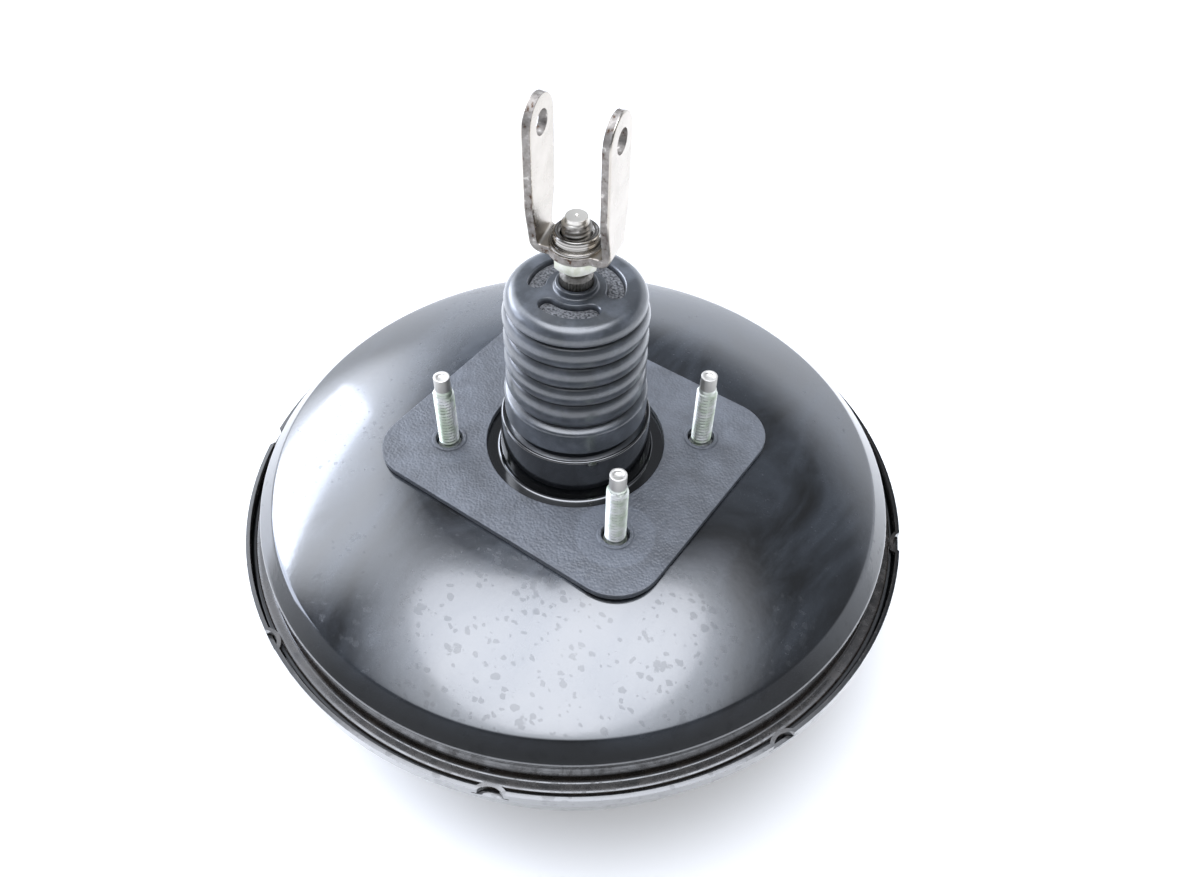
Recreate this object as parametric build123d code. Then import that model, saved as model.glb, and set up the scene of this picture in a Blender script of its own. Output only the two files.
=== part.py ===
from build123d import *
import math
import os

# Ten-inch single-diaphragm vacuum brake booster, with its pedal push rod and clevis.
# Millimetres. +Z runs along the booster's axis towards the pedal, X along the wider spacing
# of the firewall studs. The origin is the centre of the front shell's crown ring, the flat
# ring that the booster stands on when it is put down front first.

os.makedirs("parts", exist_ok=True)

# ---- Driving dimensions ----------------------------------------------------------------

# Fits and clearances
running_gap = 0.06        # radial, a sliding part in its guide
press_gap = 0.02          # radial, a pressed-in part against its hole
seat_gap = 0.2            # a soft part against what it sits in
free_gap = 0.6            # between parts that pass each other

# Shells, pressed from one gauge of sheet steel
shell_gauge = 1.5
rim_radius = 134.4        # outside of the front shell's lip
rim_height = 70.0         # top of that lip above the crown ring
lip_depth = 7.0           # height of the lip on the outside
lip_standing = 2.5        # how far the lip stands above the rear shell's flange
flange_overlap = 3.4      # how far the rear flange stops short of the lip's outside
lip_step = 5.8            # from the lip's outside in to the front shell's wall under it
wall_taper = 5.2          # how far that wall draws in on its way down
wall_foot = 32.0          # height at which the wall turns into the cone
crown_outer = 91.0
crown_inner = 77.0
recess_depth = 22.0       # from the crown ring to the master cylinder's pad
recess_radius = 60.0
collar_height = 6.0       # collar turned in round the master cylinder's pilot bore
collar_bend = 2.4

plateau_radius = 63.2
plateau_height = 98.5     # flat that meets the firewall
crown_drop = 3.5          # from the plateau down to where the dome turns steeper
dome_drop = 12.5          # from the plateau down to the dome's edge
dome_share = 0.4826       # of the dome's width, the steeper outer part
shoulder_drop = 18.5      # from the plateau down to the shoulder
shoulder_inset = 7.5      # from the lip's outside in to the shoulder
dome_inset = 6.1          # from the shoulder in to the dome's edge
rear_wall_taper = 0.9     # how far the wall draws in from the shoulder to the flange
neck_base_radius = 29.8
neck_taper = 1.2          # how far the neck draws in towards its lip
neck_length = 20.0
bearing_height = 7.0
neck_mouth = 9.0          # from the neck's lip down to the seal's retainer
retainer_height = 3.0     # of that retainer

# Stakes that lock the two shells together
stake_count = 8
stake_start = 24.0        # degrees from +X
stake_dent_radius = 7.5
stake_dent_depth = 2.4
stake_slit = 0.5

# Firewall side
stud_spacing_x = 80.0
stud_spacing_y = 60.0
stud_radius = 4.0         # M8
stud_thread_length = 28.0  # above the gasket
stud_tip_radius = 3.1
stud_tip_length = 6.0
stud_chamfer = 0.9
stud_shoulder_radius = 4.5
stud_head_radius = 6.5
stud_head_height = 2.5
gasket_margin_x = 23.0    # of the gasket outside the stud pattern
gasket_margin_y = 25.0
gasket_corner = 18.0
gasket_thickness = 2.5
gasket_hole_radius = 35.2
gasket_stud_gap = 0.8     # round each stud's shoulder
gasket_ring_width = 2.6
gasket_ring_height = 0.5
rear_plate_margin = 12.0  # of the reinforcement plate round the stud pattern
rear_plate_corner = 14.0
rear_plate_gauge = 2.5

# Master cylinder side
pilot_radius = 19.2       # for a 38 mm master cylinder barrel
cylinder_stud_pcd = 80.0
cylinder_stud_length = 20.0
front_plate_radius = 52.0
front_plate_gauge = 3.0
front_seal_height = 5.0
front_seal_width = 4.2
cup_gauge = 1.0           # small pressed cups and washers

# Power piston
stroke = 32.0
hub_gap = 2.5             # from the hub to the rear reinforcement plate, at rest
seat_drop = 7.2           # from the hub's top down to the diaphragm plate's seat
hub_depth = 17.0          # from that seat down to the nose's face
nose_length = 8.6
nose_radius = 21.0
hub_radius = 33.0
hub_step_radius = 30.0
tail_radius = 20.0
tail_length = 82.2        # from the hub's top
tail_bore_radius = 16.6
tail_bore_depth = 57.2
plate_gauge = 1.2
plate_flat_radius = 60.0
plate_rim_gap = 16.0      # round the diaphragm plate, for the diaphragm's fold
plate_rim_drop = 2.6
plate_skirt = 13.0
diaphragm_thickness = 1.6
fold_share = 0.684        # of the diaphragm's drop to the rim, the part along the wall
retaining_ring_radius = 38.0
retaining_ring_height = 2.0
reaction_radius = 12.6
reaction_thickness = 4.0
rod_head_height = 5.5
plunger_gap = 3.1         # plunger's nose to the reaction disc
output_rod_radius = 6.0
output_rod_reserve = 4.0  # the adjuster's nose above the crown ring's level at full stroke
adjuster_length = 12.0    # of its nose and hexagon
spring_wire = 3.6
spring_front_radius = 27.6
spring_rear_radius = 43.0
spring_turns = 4.0

# Valve train and push rod
plunger_radius = 6.9
plunger_flange_radius = 8.6
plunger_travel = 2.5
ball_radius = 5.6
ball_rise = 14.0          # its centre above the hub's top
swing_angle = 3.0         # degrees each way
rod_neck_radius = 3.6
rod_radius = 5.0          # M10
knurl_radius = 5.9
knurl_length = 13.9
knurl_chamfer = 1.8       # height over which its end narrows to the thread
knurl_sink = 3.2          # of the knurl inside the valve body's tail
rod_tip_radius = 3.5
rod_reach = 32.5          # beyond the valve body's tail
key_width = 12.0
key_length = 46.0
key_gauge = 2.4
valve_seat_radius = 13.6
valve_seat_height = 1.4
poppet_height = 21.0
poppet_cup_depth = 7.0
poppet_bead = 6.0
poppet_wire = 1.0
rod_spring_wire = 1.8
rod_spring_radius = 11.8
rod_spring_length = 15.0
rod_spring_turns = 4.0
spring_seat_radius = 13.3
silencer_height = 5.5
felt_height = 10.4

# Boot
boot_wall = 2.0
boot_crest_radius = 26.1
boot_groove_radius = 23.7
boot_collar_radius = 27.0
boot_waist_radius = 24.6
groove_heights = (14.5, 25.5, 34.0, 43.5, 52.5)   # above the neck's lip
boot_collar_rise = 3.0    # of the collar's underside above the neck's lip
boot_cap_gap = 0.8        # from the valve body's tail
boot_cap_thickness = 3.0
boot_cap_round = 3.0
slot_mean_radius = 13.75
slot_width = 5.0
slot_count = 3
slot_span = 78.0          # degrees between the centres of a slot's round ends
slot_start = -66.0        # degrees, middle of the first slot
boot_lip_radius = 7.4
boot_lip_height = 2.2

# Clevis
nut_across_flats = 14.0
nut_rise = 13.4           # above the valve body's tail
nut_height = 5.6
clevis_angle = 13.0       # degrees from +X to the clevis pin's axis
clevis_gauge = 3.0
clevis_gap = 23.0
clevis_width = 18.0
clevis_base_width = 19.4
clevis_bend = 4.4
clevis_slant = 14.0       # height over which a leg narrows into the bend
clevis_foot_width = 13.0
pin_hole_radius = 4.1     # for an 8 mm clevis pin
pin_rise = 43.6           # above the fork's underside
boss_radius = 7.8
boss_flange_radius = 9.2
boss_flange_height = 1.3
boss_height = 5.0

# Vacuum check valve
valve_angle = 126.0       # degrees from +X
valve_inset = 30.4        # from the lip's outside in to its axis
valve_pad_radius = 15.0
valve_pad_height = 24.0
grommet_hole_radius = 9.0
grommet_flange_radius = 13.0
grommet_flange = 3.0
valve_stem_radius = 6.9
valve_chamber_radius = 9.5
valve_chamber_wall = 2.0
valve_chamber_floor = 5.5
nipple_radius = 4.75
nipple_bore_radius = 3.2
nipple_beyond = 3.6       # how far the nipple reaches past the lip's outside
valve_disc_radius = 6.8
valve_disc_thickness = 1.5
valve_disc_travel = 1.8
valve_spring_length = 4.8
valve_spring_wire = 0.8

# ---- Levels and radii that follow -------------------------------------------------------

front_flange_top = rim_height - lip_depth + shell_gauge
rear_flange_top = rim_height - lip_standing
bead_thickness = rear_flange_top - shell_gauge - front_flange_top
wall_radius = rim_radius - lip_step
shoulder_radius = rim_radius - shoulder_inset
rear_wall_radius = shoulder_radius - rear_wall_taper
dome_radius = shoulder_radius - dome_inset
dome_crown_radius = dome_radius - dome_share * (dome_radius - plateau_radius)
dome_crown_height = plateau_height - crown_drop
dome_height = plateau_height - dome_drop
shoulder_height = plateau_height - shoulder_drop
plate_rim_radius = rear_wall_radius - plate_rim_gap
valve_offset = rim_radius - valve_inset
nipple_reach = rim_radius + nipple_beyond
neck_lip_radius = neck_base_radius - neck_taper
neck_top = plateau_height + neck_length
gasket_top = plateau_height + gasket_thickness
rear_plate_top = plateau_height - shell_gauge
rear_plate_low = rear_plate_top - rear_plate_gauge
pad_inside = recess_depth + shell_gauge
front_plate_top = pad_inside + front_plate_gauge
hub_top = rear_plate_low - hub_gap
plate_seat = hub_top - seat_drop
hub_front = plate_seat - hub_depth
tail_top = hub_top + tail_length
tail_bore_floor = tail_top - tail_bore_depth
ball_height = hub_top + ball_rise
knurl_low = tail_top - knurl_sink
knurl_high = knurl_low + knurl_length
rod_top = tail_top + rod_reach
boot_grooves = [neck_top + height for height in groove_heights]
boot_collar_low = neck_top + boot_collar_rise
boot_top = tail_top + boot_cap_gap + boot_cap_thickness
nut_low = tail_top + nut_rise
pin_height = nut_low + nut_height + pin_rise
gasket_size_x = stud_spacing_x + 2 * gasket_margin_x
gasket_size_y = stud_spacing_y + 2 * gasket_margin_y
nose_top = hub_front + nose_length
reaction_top = hub_front + rod_head_height + reaction_thickness + press_gap
plunger_low = reaction_top + plunger_gap
key_top = rear_plate_top - 2 * seat_gap
key_low = key_top - key_gauge
seat_top = tail_bore_floor + valve_seat_height
poppet_low = seat_top + free_gap
retainer_top = poppet_low + poppet_height
spring_seat_low = retainer_top + rod_spring_length
silencer_low = spring_seat_low + cup_gauge + 1.4
felt_low = silencer_low + silencer_height + seat_gap
output_rod_tip = output_rod_reserve + stroke
swing_reach = (tail_top - ball_height) * math.sin(math.radians(swing_angle))
filter_hole_radius = knurl_radius + swing_reach + free_gap
stud_places = [(x * stud_spacing_x / 2, y * stud_spacing_y / 2) for x in (-1, 1) for y in (-1, 1)]


def neck_inside(height):
    """Inner radius of the rear shell's tapering neck at this height."""
    share = (height - plateau_height) / neck_length
    return neck_base_radius + share * (neck_lip_radius - neck_base_radius) - shell_gauge


# ---- Shape builders ---------------------------------------------------------------------

def turned(*outline):
    """Solid of revolution about the booster's axis from (radius, height) corners."""
    return revolve(Plane.XZ * make_face(Polyline(*outline, close=True)), Axis.Z)


def ring(inner, outer, low, high):
    return turned((inner, low), (outer, low), (outer, high), (inner, high))


def bar(radius, low, high, x=0.0, y=0.0):
    """Round bar parallel to the booster's axis."""
    return Pos(x, y, (low + high) / 2) * Cylinder(radius, high - low)


def pressed(corners, bends, gauge):
    """Revolved sheet metal. The skin runs through the corners and the metal lies on its right."""
    skin = Wire(FilletPolyline(*corners, radius=bends).edges())
    section = Face(skin.offset_2d(gauge, side=Side.RIGHT))
    return revolve(Plane.XZ * section, Axis.Z)


def coil(low_radius, high_radius, wire, low, high, turns):
    """Open coil spring of round wire that fits between two levels."""
    rise = high - low - wire - 2 * press_gap
    cone = math.degrees(math.atan2(high_radius - low_radius, rise))
    start = low + wire / 2 + press_gap
    path = Pos(0, 0, start) * Helix(rise / turns, rise, low_radius, cone_angle=cone)
    section = Plane(origin=path @ 0, z_dir=path % 0) * Circle(wire / 2)
    return sweep(section, path=path, is_frenet=True)


def stud(x, y, seat, grip, reach, way):
    """Headed stud clinched through a plate and shell; way is +1 if it points up, -1 if down."""
    head_end = seat - way * stud_head_height
    chamfer_start = reach - way * (stud_tip_length + stud_chamfer)
    tip_start = reach - way * stud_tip_length
    shoulder_end = seat + way * grip
    body = turned(
        (0, head_end),
        (stud_head_radius, head_end),
        (stud_head_radius, seat),
        (stud_shoulder_radius, seat),
        (stud_shoulder_radius, shoulder_end),
        (stud_radius, shoulder_end),
        (stud_radius, chamfer_start),
        (stud_tip_radius, tip_start),
        (stud_tip_radius, reach - way * stud_chamfer / 2),
        (stud_tip_radius - stud_chamfer / 2, reach),
        (0, reach),
    )
    return Pos(x, y, 0) * body


def save(shape, name):
    export_step(shape, f"parts/{name}.step")


# ---- Housing ----------------------------------------------------------------------------

front_corners = [
    (rim_radius, rim_height),
    (rim_radius, rim_height - lip_depth),
    (wall_radius, rim_height - lip_depth),
    (wall_radius - wall_taper, wall_foot),
    (crown_outer, 0),
    (crown_inner, 0),
    (recess_radius, recess_depth),
    (pilot_radius, recess_depth),
    (pilot_radius, recess_depth + collar_height),
]
front_bends = [2.2, 1.6, 18, 8, 6, 5, collar_bend]
steep_width = dome_radius - dome_crown_radius
dome_turn = math.atan2(dome_drop - crown_drop, steep_width) - math.atan2(
    crown_drop, dome_crown_radius - plateau_radius
)
dome_sweep = 0.99 * steep_width / math.tan(dome_turn / 2)
rear_corners = [
    (neck_lip_radius, neck_top),
    (neck_base_radius, plateau_height),
    (plateau_radius, plateau_height),
    (dome_crown_radius, dome_crown_height),
    (dome_radius, dome_height),
    (shoulder_radius, shoulder_height),
    (rear_wall_radius, rear_flange_top),
    (rim_radius - flange_overlap, rear_flange_top),
]
rear_bends = [1.7, 3, dome_sweep, 4, 2, 1.5]


def with_valve_pad(shell):
    """Presses a level round seat for the check valve into the cone, half sunk and half proud."""
    place = Rot(0, 0, valve_angle) * Pos(valve_offset, 0, 0)
    skin = FilletPolyline(*front_corners, radius=front_bends)
    close = Polyline(skin @ 1, (0, recess_depth + collar_height), (0, rim_height), skin @ 0)
    filled = revolve(Plane.XZ * make_face(skin.edges() + close.edges()), Axis.Z)
    inside = filled - shell
    level, high = valve_pad_height, wall_foot + valve_pad_radius
    proud = place * bar(valve_pad_radius, level, high) - inside
    sunk = place * bar(valve_pad_radius + shell_gauge, 0, level + shell_gauge) & inside
    below = place * bar(valve_pad_radius, -1, level)
    above = place * bar(valve_pad_radius - shell_gauge, level + shell_gauge, high)
    return shell + proud + sunk - below - above


def staked(shell):
    """Lances the lip inwards over the rear shell's flange, evenly round the rim."""
    centre = rim_radius - shell_gauge + stake_dent_radius - stake_dent_depth
    low, high = rear_flange_top, rim_height - stake_slit
    scoop = bar(stake_dent_radius - shell_gauge, low, rim_height + 1, centre)
    slit = bar(stake_dent_radius, low - stake_slit, low, centre)
    tab = bar(stake_dent_radius, low, high, centre) & bar(rim_radius - stake_slit, low, high)
    for k in range(stake_count):
        turn = Rot(0, 0, stake_start + k * 360 / stake_count)
        shell = shell - turn * (scoop + slit) + turn * (tab - scoop)
    return shell


def front_shell():
    shell = staked(with_valve_pad(pressed(front_corners, front_bends, shell_gauge)))
    valve_place = Rot(0, 0, valve_angle) * Pos(valve_offset, 0, 0)
    shell -= valve_place * bar(grommet_hole_radius, valve_pad_height - 1, valve_pad_height + 3)
    for way in (-1, 1):
        x = way * cylinder_stud_pcd / 2
        shell -= bar(stud_shoulder_radius + press_gap, recess_depth - 1, pad_inside + 1, x)
    return shell


def rear_shell():
    shell = pressed(rear_corners, rear_bends, shell_gauge)
    for x, y in stud_places:
        shell -= bar(stud_shoulder_radius + press_gap, rear_plate_top - 1, plateau_height + 1, x, y)
    return shell


def rear_reinforcement_plate():
    size_x = stud_spacing_x + 2 * rear_plate_margin
    size_y = stud_spacing_y + 2 * rear_plate_margin
    blank = RectangleRounded(size_x, size_y, rear_plate_corner)
    blank -= Circle(neck_base_radius + 1.7)
    for x, y in stud_places:
        blank -= Pos(x, y) * Circle(stud_shoulder_radius + press_gap)
    return Pos(0, 0, rear_plate_low) * extrude(blank, rear_plate_gauge)


def firewall_gasket():
    """Gasket with a slightly raised sealing ring round each stud."""
    blank = RectangleRounded(gasket_size_x, gasket_size_y, gasket_corner)
    blank -= Circle(gasket_hole_radius)
    gasket = Pos(0, 0, plateau_height) * extrude(blank, gasket_thickness)
    ring_radius = stud_shoulder_radius + gasket_ring_width
    for x, y in stud_places:
        gasket += bar(ring_radius, plateau_height, gasket_top + gasket_ring_height, x, y)
    for x, y in stud_places:
        gasket -= bar(stud_shoulder_radius + gasket_stud_gap, plateau_height - 1, gasket_top + 1, x, y)
    return gasket


def neck_bearing():
    low, high = rear_plate_top, rear_plate_top + bearing_height
    inner = tail_radius + running_gap
    outer = neck_inside(high) - press_gap
    return turned((inner, low), (outer, low), (outer, high), (inner, high))


def neck_seal():
    """Rubber lip seal that wipes the valve body's tail."""
    low, high = rear_plate_top + bearing_height, neck_top - neck_mouth
    inner, outer = tail_radius + running_gap, neck_inside(high) - press_gap
    return turned(
        (inner, low),
        (outer, low),
        (outer, high),
        (outer - 2, high),
        (outer - 3, low + 3),
        (inner + 1.6, low + 2.4),
        (inner + 1.4, high - 2),
        (inner, high - 2.6),
    )


def seal_retainer():
    low = neck_top - neck_mouth
    high = low + retainer_height
    outer = neck_inside(high) - press_gap
    return turned(
        (tail_radius + free_gap, low),
        (outer, low),
        (outer, high),
        (outer - cup_gauge, high),
        (outer - cup_gauge, low + cup_gauge),
        (tail_radius + free_gap, low + cup_gauge),
    )


def front_reinforcement_plate():
    hole = pilot_radius + collar_bend + seat_gap
    plate = ring(hole, front_plate_radius, pad_inside, front_plate_top)
    for way in (-1, 1):
        x = way * cylinder_stud_pcd / 2
        plate -= bar(stud_shoulder_radius + press_gap, pad_inside - 1, front_plate_top + 1, x)
    return plate


seal_low = recess_depth + collar_height
seal_outer = pilot_radius + front_seal_width + shell_gauge


def front_seal():
    """Lip seal that grips the master cylinder's barrel, seated on the end of the collar."""
    outer, inner = seal_outer - seat_gap, pilot_radius + 0.3
    high = seal_low + front_seal_height - seat_gap
    return turned(
        (inner, seal_low),
        (outer, seal_low),
        (outer, high),
        (outer - 2, high),
        (outer - 2.6, seal_low + 2),
        (inner + 1.5, seal_low + 2),
        (inner + 1.3, high - 1),
        (inner, high - 1),
    )


def front_seal_retainer():
    """Pressed cup that holds the front seal down and centres the return spring's first coil."""
    corners = [
        (seal_outer - 2.4, seal_low + front_seal_height + cup_gauge),
        (seal_outer + cup_gauge, seal_low + front_seal_height + cup_gauge),
        (seal_outer + cup_gauge, front_plate_top + cup_gauge),
        (spring_front_radius + spring_wire, front_plate_top + cup_gauge),
    ]
    return pressed(corners, [1.4, 0.6], cup_gauge)


def return_spring():
    low, high = front_plate_top + cup_gauge, plate_seat
    return coil(spring_front_radius, spring_rear_radius, spring_wire, low, high, spring_turns)


def diaphragm():
    """Rolling diaphragm at rest: clamped at the rim, folded behind the rear shell's wall."""
    rim_level = front_flange_top + bead_thickness
    top = plate_seat + plate_gauge + diaphragm_thickness
    fold = rear_wall_radius - shell_gauge - free_gap
    fold_level = rim_level + fold_share * (top - plate_rim_drop - rim_level)
    skin = [
        (hub_step_radius + 0.3, top),
        (plate_flat_radius, top),
        (plate_rim_radius + diaphragm_thickness, top - plate_rim_drop),
        (fold, fold_level),
        (fold, rim_level),
        (rim_radius - shell_gauge - 1, rim_level),
    ]
    return pressed(skin, [20, 4, 3, 2.0], bead_thickness)


boot_low = neck_top - neck_mouth + retainer_height + seat_gap
boot_bead_high = boot_low + 3.4


def boot_section():
    """Half section of the boot: bead in the neck, waist, collar, bellows and cap."""
    bead = neck_inside(boot_bead_high) - seat_gap
    waist_inner = boot_waist_radius - boot_wall
    inner_groove = boot_groove_radius - boot_wall
    inner_crest = boot_crest_radius - boot_wall
    first, last = boot_grooves[0], boot_grooves[-1]
    outside = [Polyline(
        (waist_inner, boot_low),
        (bead, boot_low),
        (bead, boot_bead_high),
        (boot_waist_radius, boot_bead_high + 1),
        (boot_waist_radius, boot_collar_low),
        (boot_collar_radius, boot_collar_low),
        (boot_collar_radius, first - 2),
        (boot_groove_radius, first),
    )]
    inside = [Polyline(
        (waist_inner, boot_low),
        (waist_inner, boot_collar_low + boot_wall),
        (inner_crest, boot_collar_low + boot_wall + 1),
        (inner_crest, first - 3),
        (inner_groove, first),
    )]
    for low, high in zip(boot_grooves, boot_grooves[1:]):
        middle = (low + high) / 2
        for side, groove, crest in (
            (outside, boot_groove_radius, boot_crest_radius),
            (inside, inner_groove, inner_crest),
        ):
            side.append(ThreePointArc((groove, low), (crest, middle), (groove, high)))
    cap_edge = boot_crest_radius - 1
    lip_top = boot_top + boot_lip_height
    lip_bore = knurl_radius + seat_gap
    outside.append(FilletPolyline(
        (boot_groove_radius, last),
        (cap_edge, last + 1.5),
        (cap_edge, boot_top),
        (boot_lip_radius, boot_top),
        (boot_lip_radius, lip_top),
        (lip_bore, lip_top),
        radius=[0.8, boot_cap_round, 0.8, 0.5],
    ))
    cap_low = boot_top - boot_cap_thickness
    inside.append(Polyline(
        (inner_groove, last),
        (tail_radius + 0.3, last + 0.6),
        (tail_radius + 0.3, cap_low),
        (lip_bore, cap_low),
        (lip_bore, lip_top),
    ))
    return make_face([edge for line in outside + inside for edge in line.edges()])


def boot():
    rubber = revolve(Plane.XZ * boot_section(), Axis.Z)
    for k in range(slot_count):
        start = slot_start + k * 360 / slot_count - slot_span / 2
        slot = SlotArc(CenterArc((0, 0), slot_mean_radius, start, slot_span), slot_width)
        rubber -= Pos(0, 0, boot_top - boot_cap_thickness - 1) * extrude(slot, boot_cap_thickness + 2)
    return rubber


# ---- Vacuum check valve -----------------------------------------------------------------

valve_spring_low = valve_chamber_floor + valve_chamber_wall
valve_disc_low = valve_spring_low + valve_spring_length
valve_seat_low = valve_disc_low + valve_disc_thickness + press_gap
valve_spring_turns = (valve_spring_length - valve_disc_travel) / valve_spring_wire - 1


def at_valve(shape):
    return Rot(0, 0, valve_angle) * Pos(valve_offset, 0, 0) * shape


def check_valve_grommet():
    low, high = valve_pad_height - grommet_flange, valve_pad_height + shell_gauge
    waist = grommet_hole_radius - press_gap
    return at_valve(turned(
        (valve_stem_radius + press_gap, low),
        (grommet_flange_radius, low),
        (grommet_flange_radius, valve_pad_height),
        (waist, valve_pad_height),
        (waist, high),
        (grommet_hole_radius + 2, high),
        (grommet_hole_radius + 0.8, high + 2.6),
        (valve_stem_radius + press_gap, high + 2.6),
    ))


def check_valve_body():
    """Moulded body: barbed stem through the grommet, chamber below it, barbed hose nipple."""
    stem_top = valve_pad_height + shell_gauge + 6
    flange_top = valve_pad_height - grommet_flange - seat_gap / 2
    outside = turned(
        (0, valve_chamber_floor),
        (valve_chamber_radius - 1, valve_chamber_floor),
        (valve_chamber_radius, valve_chamber_floor + 1),
        (valve_chamber_radius, flange_top - 2),
        (valve_chamber_radius + 2, flange_top - 2),
        (valve_chamber_radius + 2, flange_top),
        (valve_stem_radius, flange_top),
        (valve_stem_radius, stem_top - 3),
        (valve_stem_radius + 0.8, stem_top - 3),
        (valve_stem_radius - 0.8, stem_top),
        (0, stem_top),
    )
    bore = turned(
        (0, valve_spring_low),
        (valve_chamber_radius - valve_chamber_wall, valve_spring_low),
        (valve_chamber_radius - valve_chamber_wall, valve_seat_low),
        (valve_disc_radius - 2.6, valve_seat_low),
        (valve_disc_radius - 2.6, stem_top + 1),
        (0, stem_top + 1),
    )
    level = valve_chamber_floor + valve_chamber_wall + nipple_bore_radius + 0.2
    reach = nipple_reach - valve_offset
    along = Pos(0, 0, level) * Rot(0, 90, 0)
    barb = turned(
        (0, 0),
        (nipple_radius, 0),
        (nipple_radius, reach - 5),
        (nipple_radius + 0.7, reach - 5),
        (nipple_radius - 0.8, reach),
        (0, reach),
    )
    hole = bar(nipple_bore_radius, valve_chamber_radius - valve_chamber_wall - 1, reach + 1)
    return at_valve(outside + along * barb - bore - along * hole)


def check_valve_disc():
    return at_valve(bar(valve_disc_radius, valve_disc_low, valve_disc_low + valve_disc_thickness))


def check_valve_spring():
    radius = valve_disc_radius - 2
    low, high = valve_spring_low, valve_disc_low
    return at_valve(coil(radius, radius, valve_spring_wire, low, high, valve_spring_turns))


# ---- Power piston -----------------------------------------------------------------------

plunger_counterbore = plunger_flange_radius + free_gap
plunger_flange_top = poppet_low - press_gap
plunger_flange_low = plunger_flange_top - 8


def valve_body():
    """Moulded valve body: nose and hub in the vacuum chamber, tail out through the neck seal."""
    body = turned(
        (0, hub_front),
        (nose_radius, hub_front),
        (nose_radius, nose_top),
        (hub_radius, nose_top),
        (hub_radius, plate_seat),
        (hub_step_radius, plate_seat),
        (hub_step_radius, hub_top - 1),
        (hub_step_radius - 1, hub_top),
        (tail_radius, hub_top),
        (tail_radius, tail_top - 1),
        (tail_radius - 1, tail_top),
        (0, tail_top),
    )
    counterbore_low = plunger_flange_low - plunger_travel - 1
    body -= turned(
        (0, hub_front - 1),
        (reaction_radius, hub_front - 1),
        (reaction_radius, reaction_top),
        (plunger_radius + running_gap, reaction_top),
        (plunger_radius + running_gap, counterbore_low),
        (plunger_counterbore, counterbore_low),
        (plunger_counterbore, tail_bore_floor),
        (valve_seat_radius - 0.6, tail_bore_floor),
        (valve_seat_radius - 0.3, seat_top),
        (valve_seat_radius + 0.3, seat_top),
        (valve_seat_radius + 0.6, tail_bore_floor),
        (tail_bore_radius, tail_bore_floor),
        (tail_bore_radius, tail_top + 1),
        (0, tail_top + 1),
    )
    passage = SlotArc(CenterArc((0, 0), tail_bore_radius - 1, -30, 60), 1.6)
    port = Pos(0, 0, hub_front - 1) * extrude(passage, tail_bore_floor - hub_front + 1)
    for turn in (0, 180):
        body -= Rot(0, 0, turn) * port
    slot = Box(key_width + 2 * seat_gap, 2 * tail_radius + 1, key_gauge + 2 * seat_gap)
    return body - Pos(0, 0, (key_low + key_top) / 2) * slot


def diaphragm_plate():
    """Pressed plate that carries the diaphragm: flat centre, shallow cone, rolled skirt."""
    top = plate_seat + plate_gauge
    corners = [
        (hub_step_radius + press_gap, top),
        (plate_flat_radius, top),
        (plate_rim_radius, top - plate_rim_drop),
        (plate_rim_radius, top - plate_rim_drop - plate_skirt),
    ]
    return pressed(corners, [20, 4], plate_gauge)


def diaphragm_retainer():
    low = plate_seat + plate_gauge + diaphragm_thickness
    return ring(hub_step_radius + press_gap, retaining_ring_radius, low, low + retaining_ring_height)


def reaction_disc():
    low = reaction_top - reaction_thickness
    return bar(reaction_radius - press_gap, low, reaction_top)


def output_rod():
    high = reaction_top - reaction_thickness
    low = high - rod_head_height
    end = output_rod_tip + adjuster_length
    rod = turned(
        (0, end),
        (output_rod_radius - 0.6, end),
        (output_rod_radius, end + 0.6),
        (output_rod_radius, low),
        (reaction_radius - 2 * running_gap, low),
        (reaction_radius - 2 * running_gap, high),
        (0, high),
    )
    return rod - bar(output_rod_radius - 2.4, end - 1, end + adjuster_length)


def output_rod_adjuster():
    """Screw with a round nose and a hexagon, which sets the output rod's length."""
    low, high = output_rod_tip, output_rod_tip + adjuster_length
    hexagon = Pos(0, 0, high - 4) * extrude(RegularPolygon(output_rod_radius, 6, major_radius=False), 3.9)
    nose = turned((0, low), (2, low), (4, low + 2), (4, high - 4), (0, high - 4))
    return nose + hexagon + bar(output_rod_radius - 2.4 - press_gap, high - 0.2, high + 10)


def output_rod_retainer():
    """Pressed cup over the nose that keeps the output rod's head in, open at the vacuum ports."""
    cup_inside = nose_radius + press_gap
    low = hub_front - cup_gauge - press_gap
    cup = turned(
        (output_rod_radius + 2, low),
        (cup_inside + cup_gauge, low),
        (cup_inside + cup_gauge, nose_top - cup_gauge),
        (hub_radius - 2, nose_top - cup_gauge),
        (hub_radius - 2, nose_top),
        (cup_inside, nose_top),
        (cup_inside, low + cup_gauge),
        (output_rod_radius + 2, low + cup_gauge),
    )
    window = SlotArc(CenterArc((0, 0), tail_bore_radius - 1, -40, 80), 4)
    for turn in (0, 180):
        cup -= Rot(0, 0, turn) * Pos(0, 0, low - 1) * extrude(window, cup_gauge + 2)
    return cup


def stop_key():
    """Flat forked key: it locks the plunger in and stops the piston against the neck bearing."""
    blank = SlotOverall(key_length, key_width, rotation=90)
    mouth = 2 * (plunger_radius - 2.2)
    blank -= Rectangle(mouth, key_length, align=(Align.CENTER, Align.MIN))
    blank -= Circle(mouth / 2)
    return Pos(0, 0, key_low) * extrude(blank, key_gauge)


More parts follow.
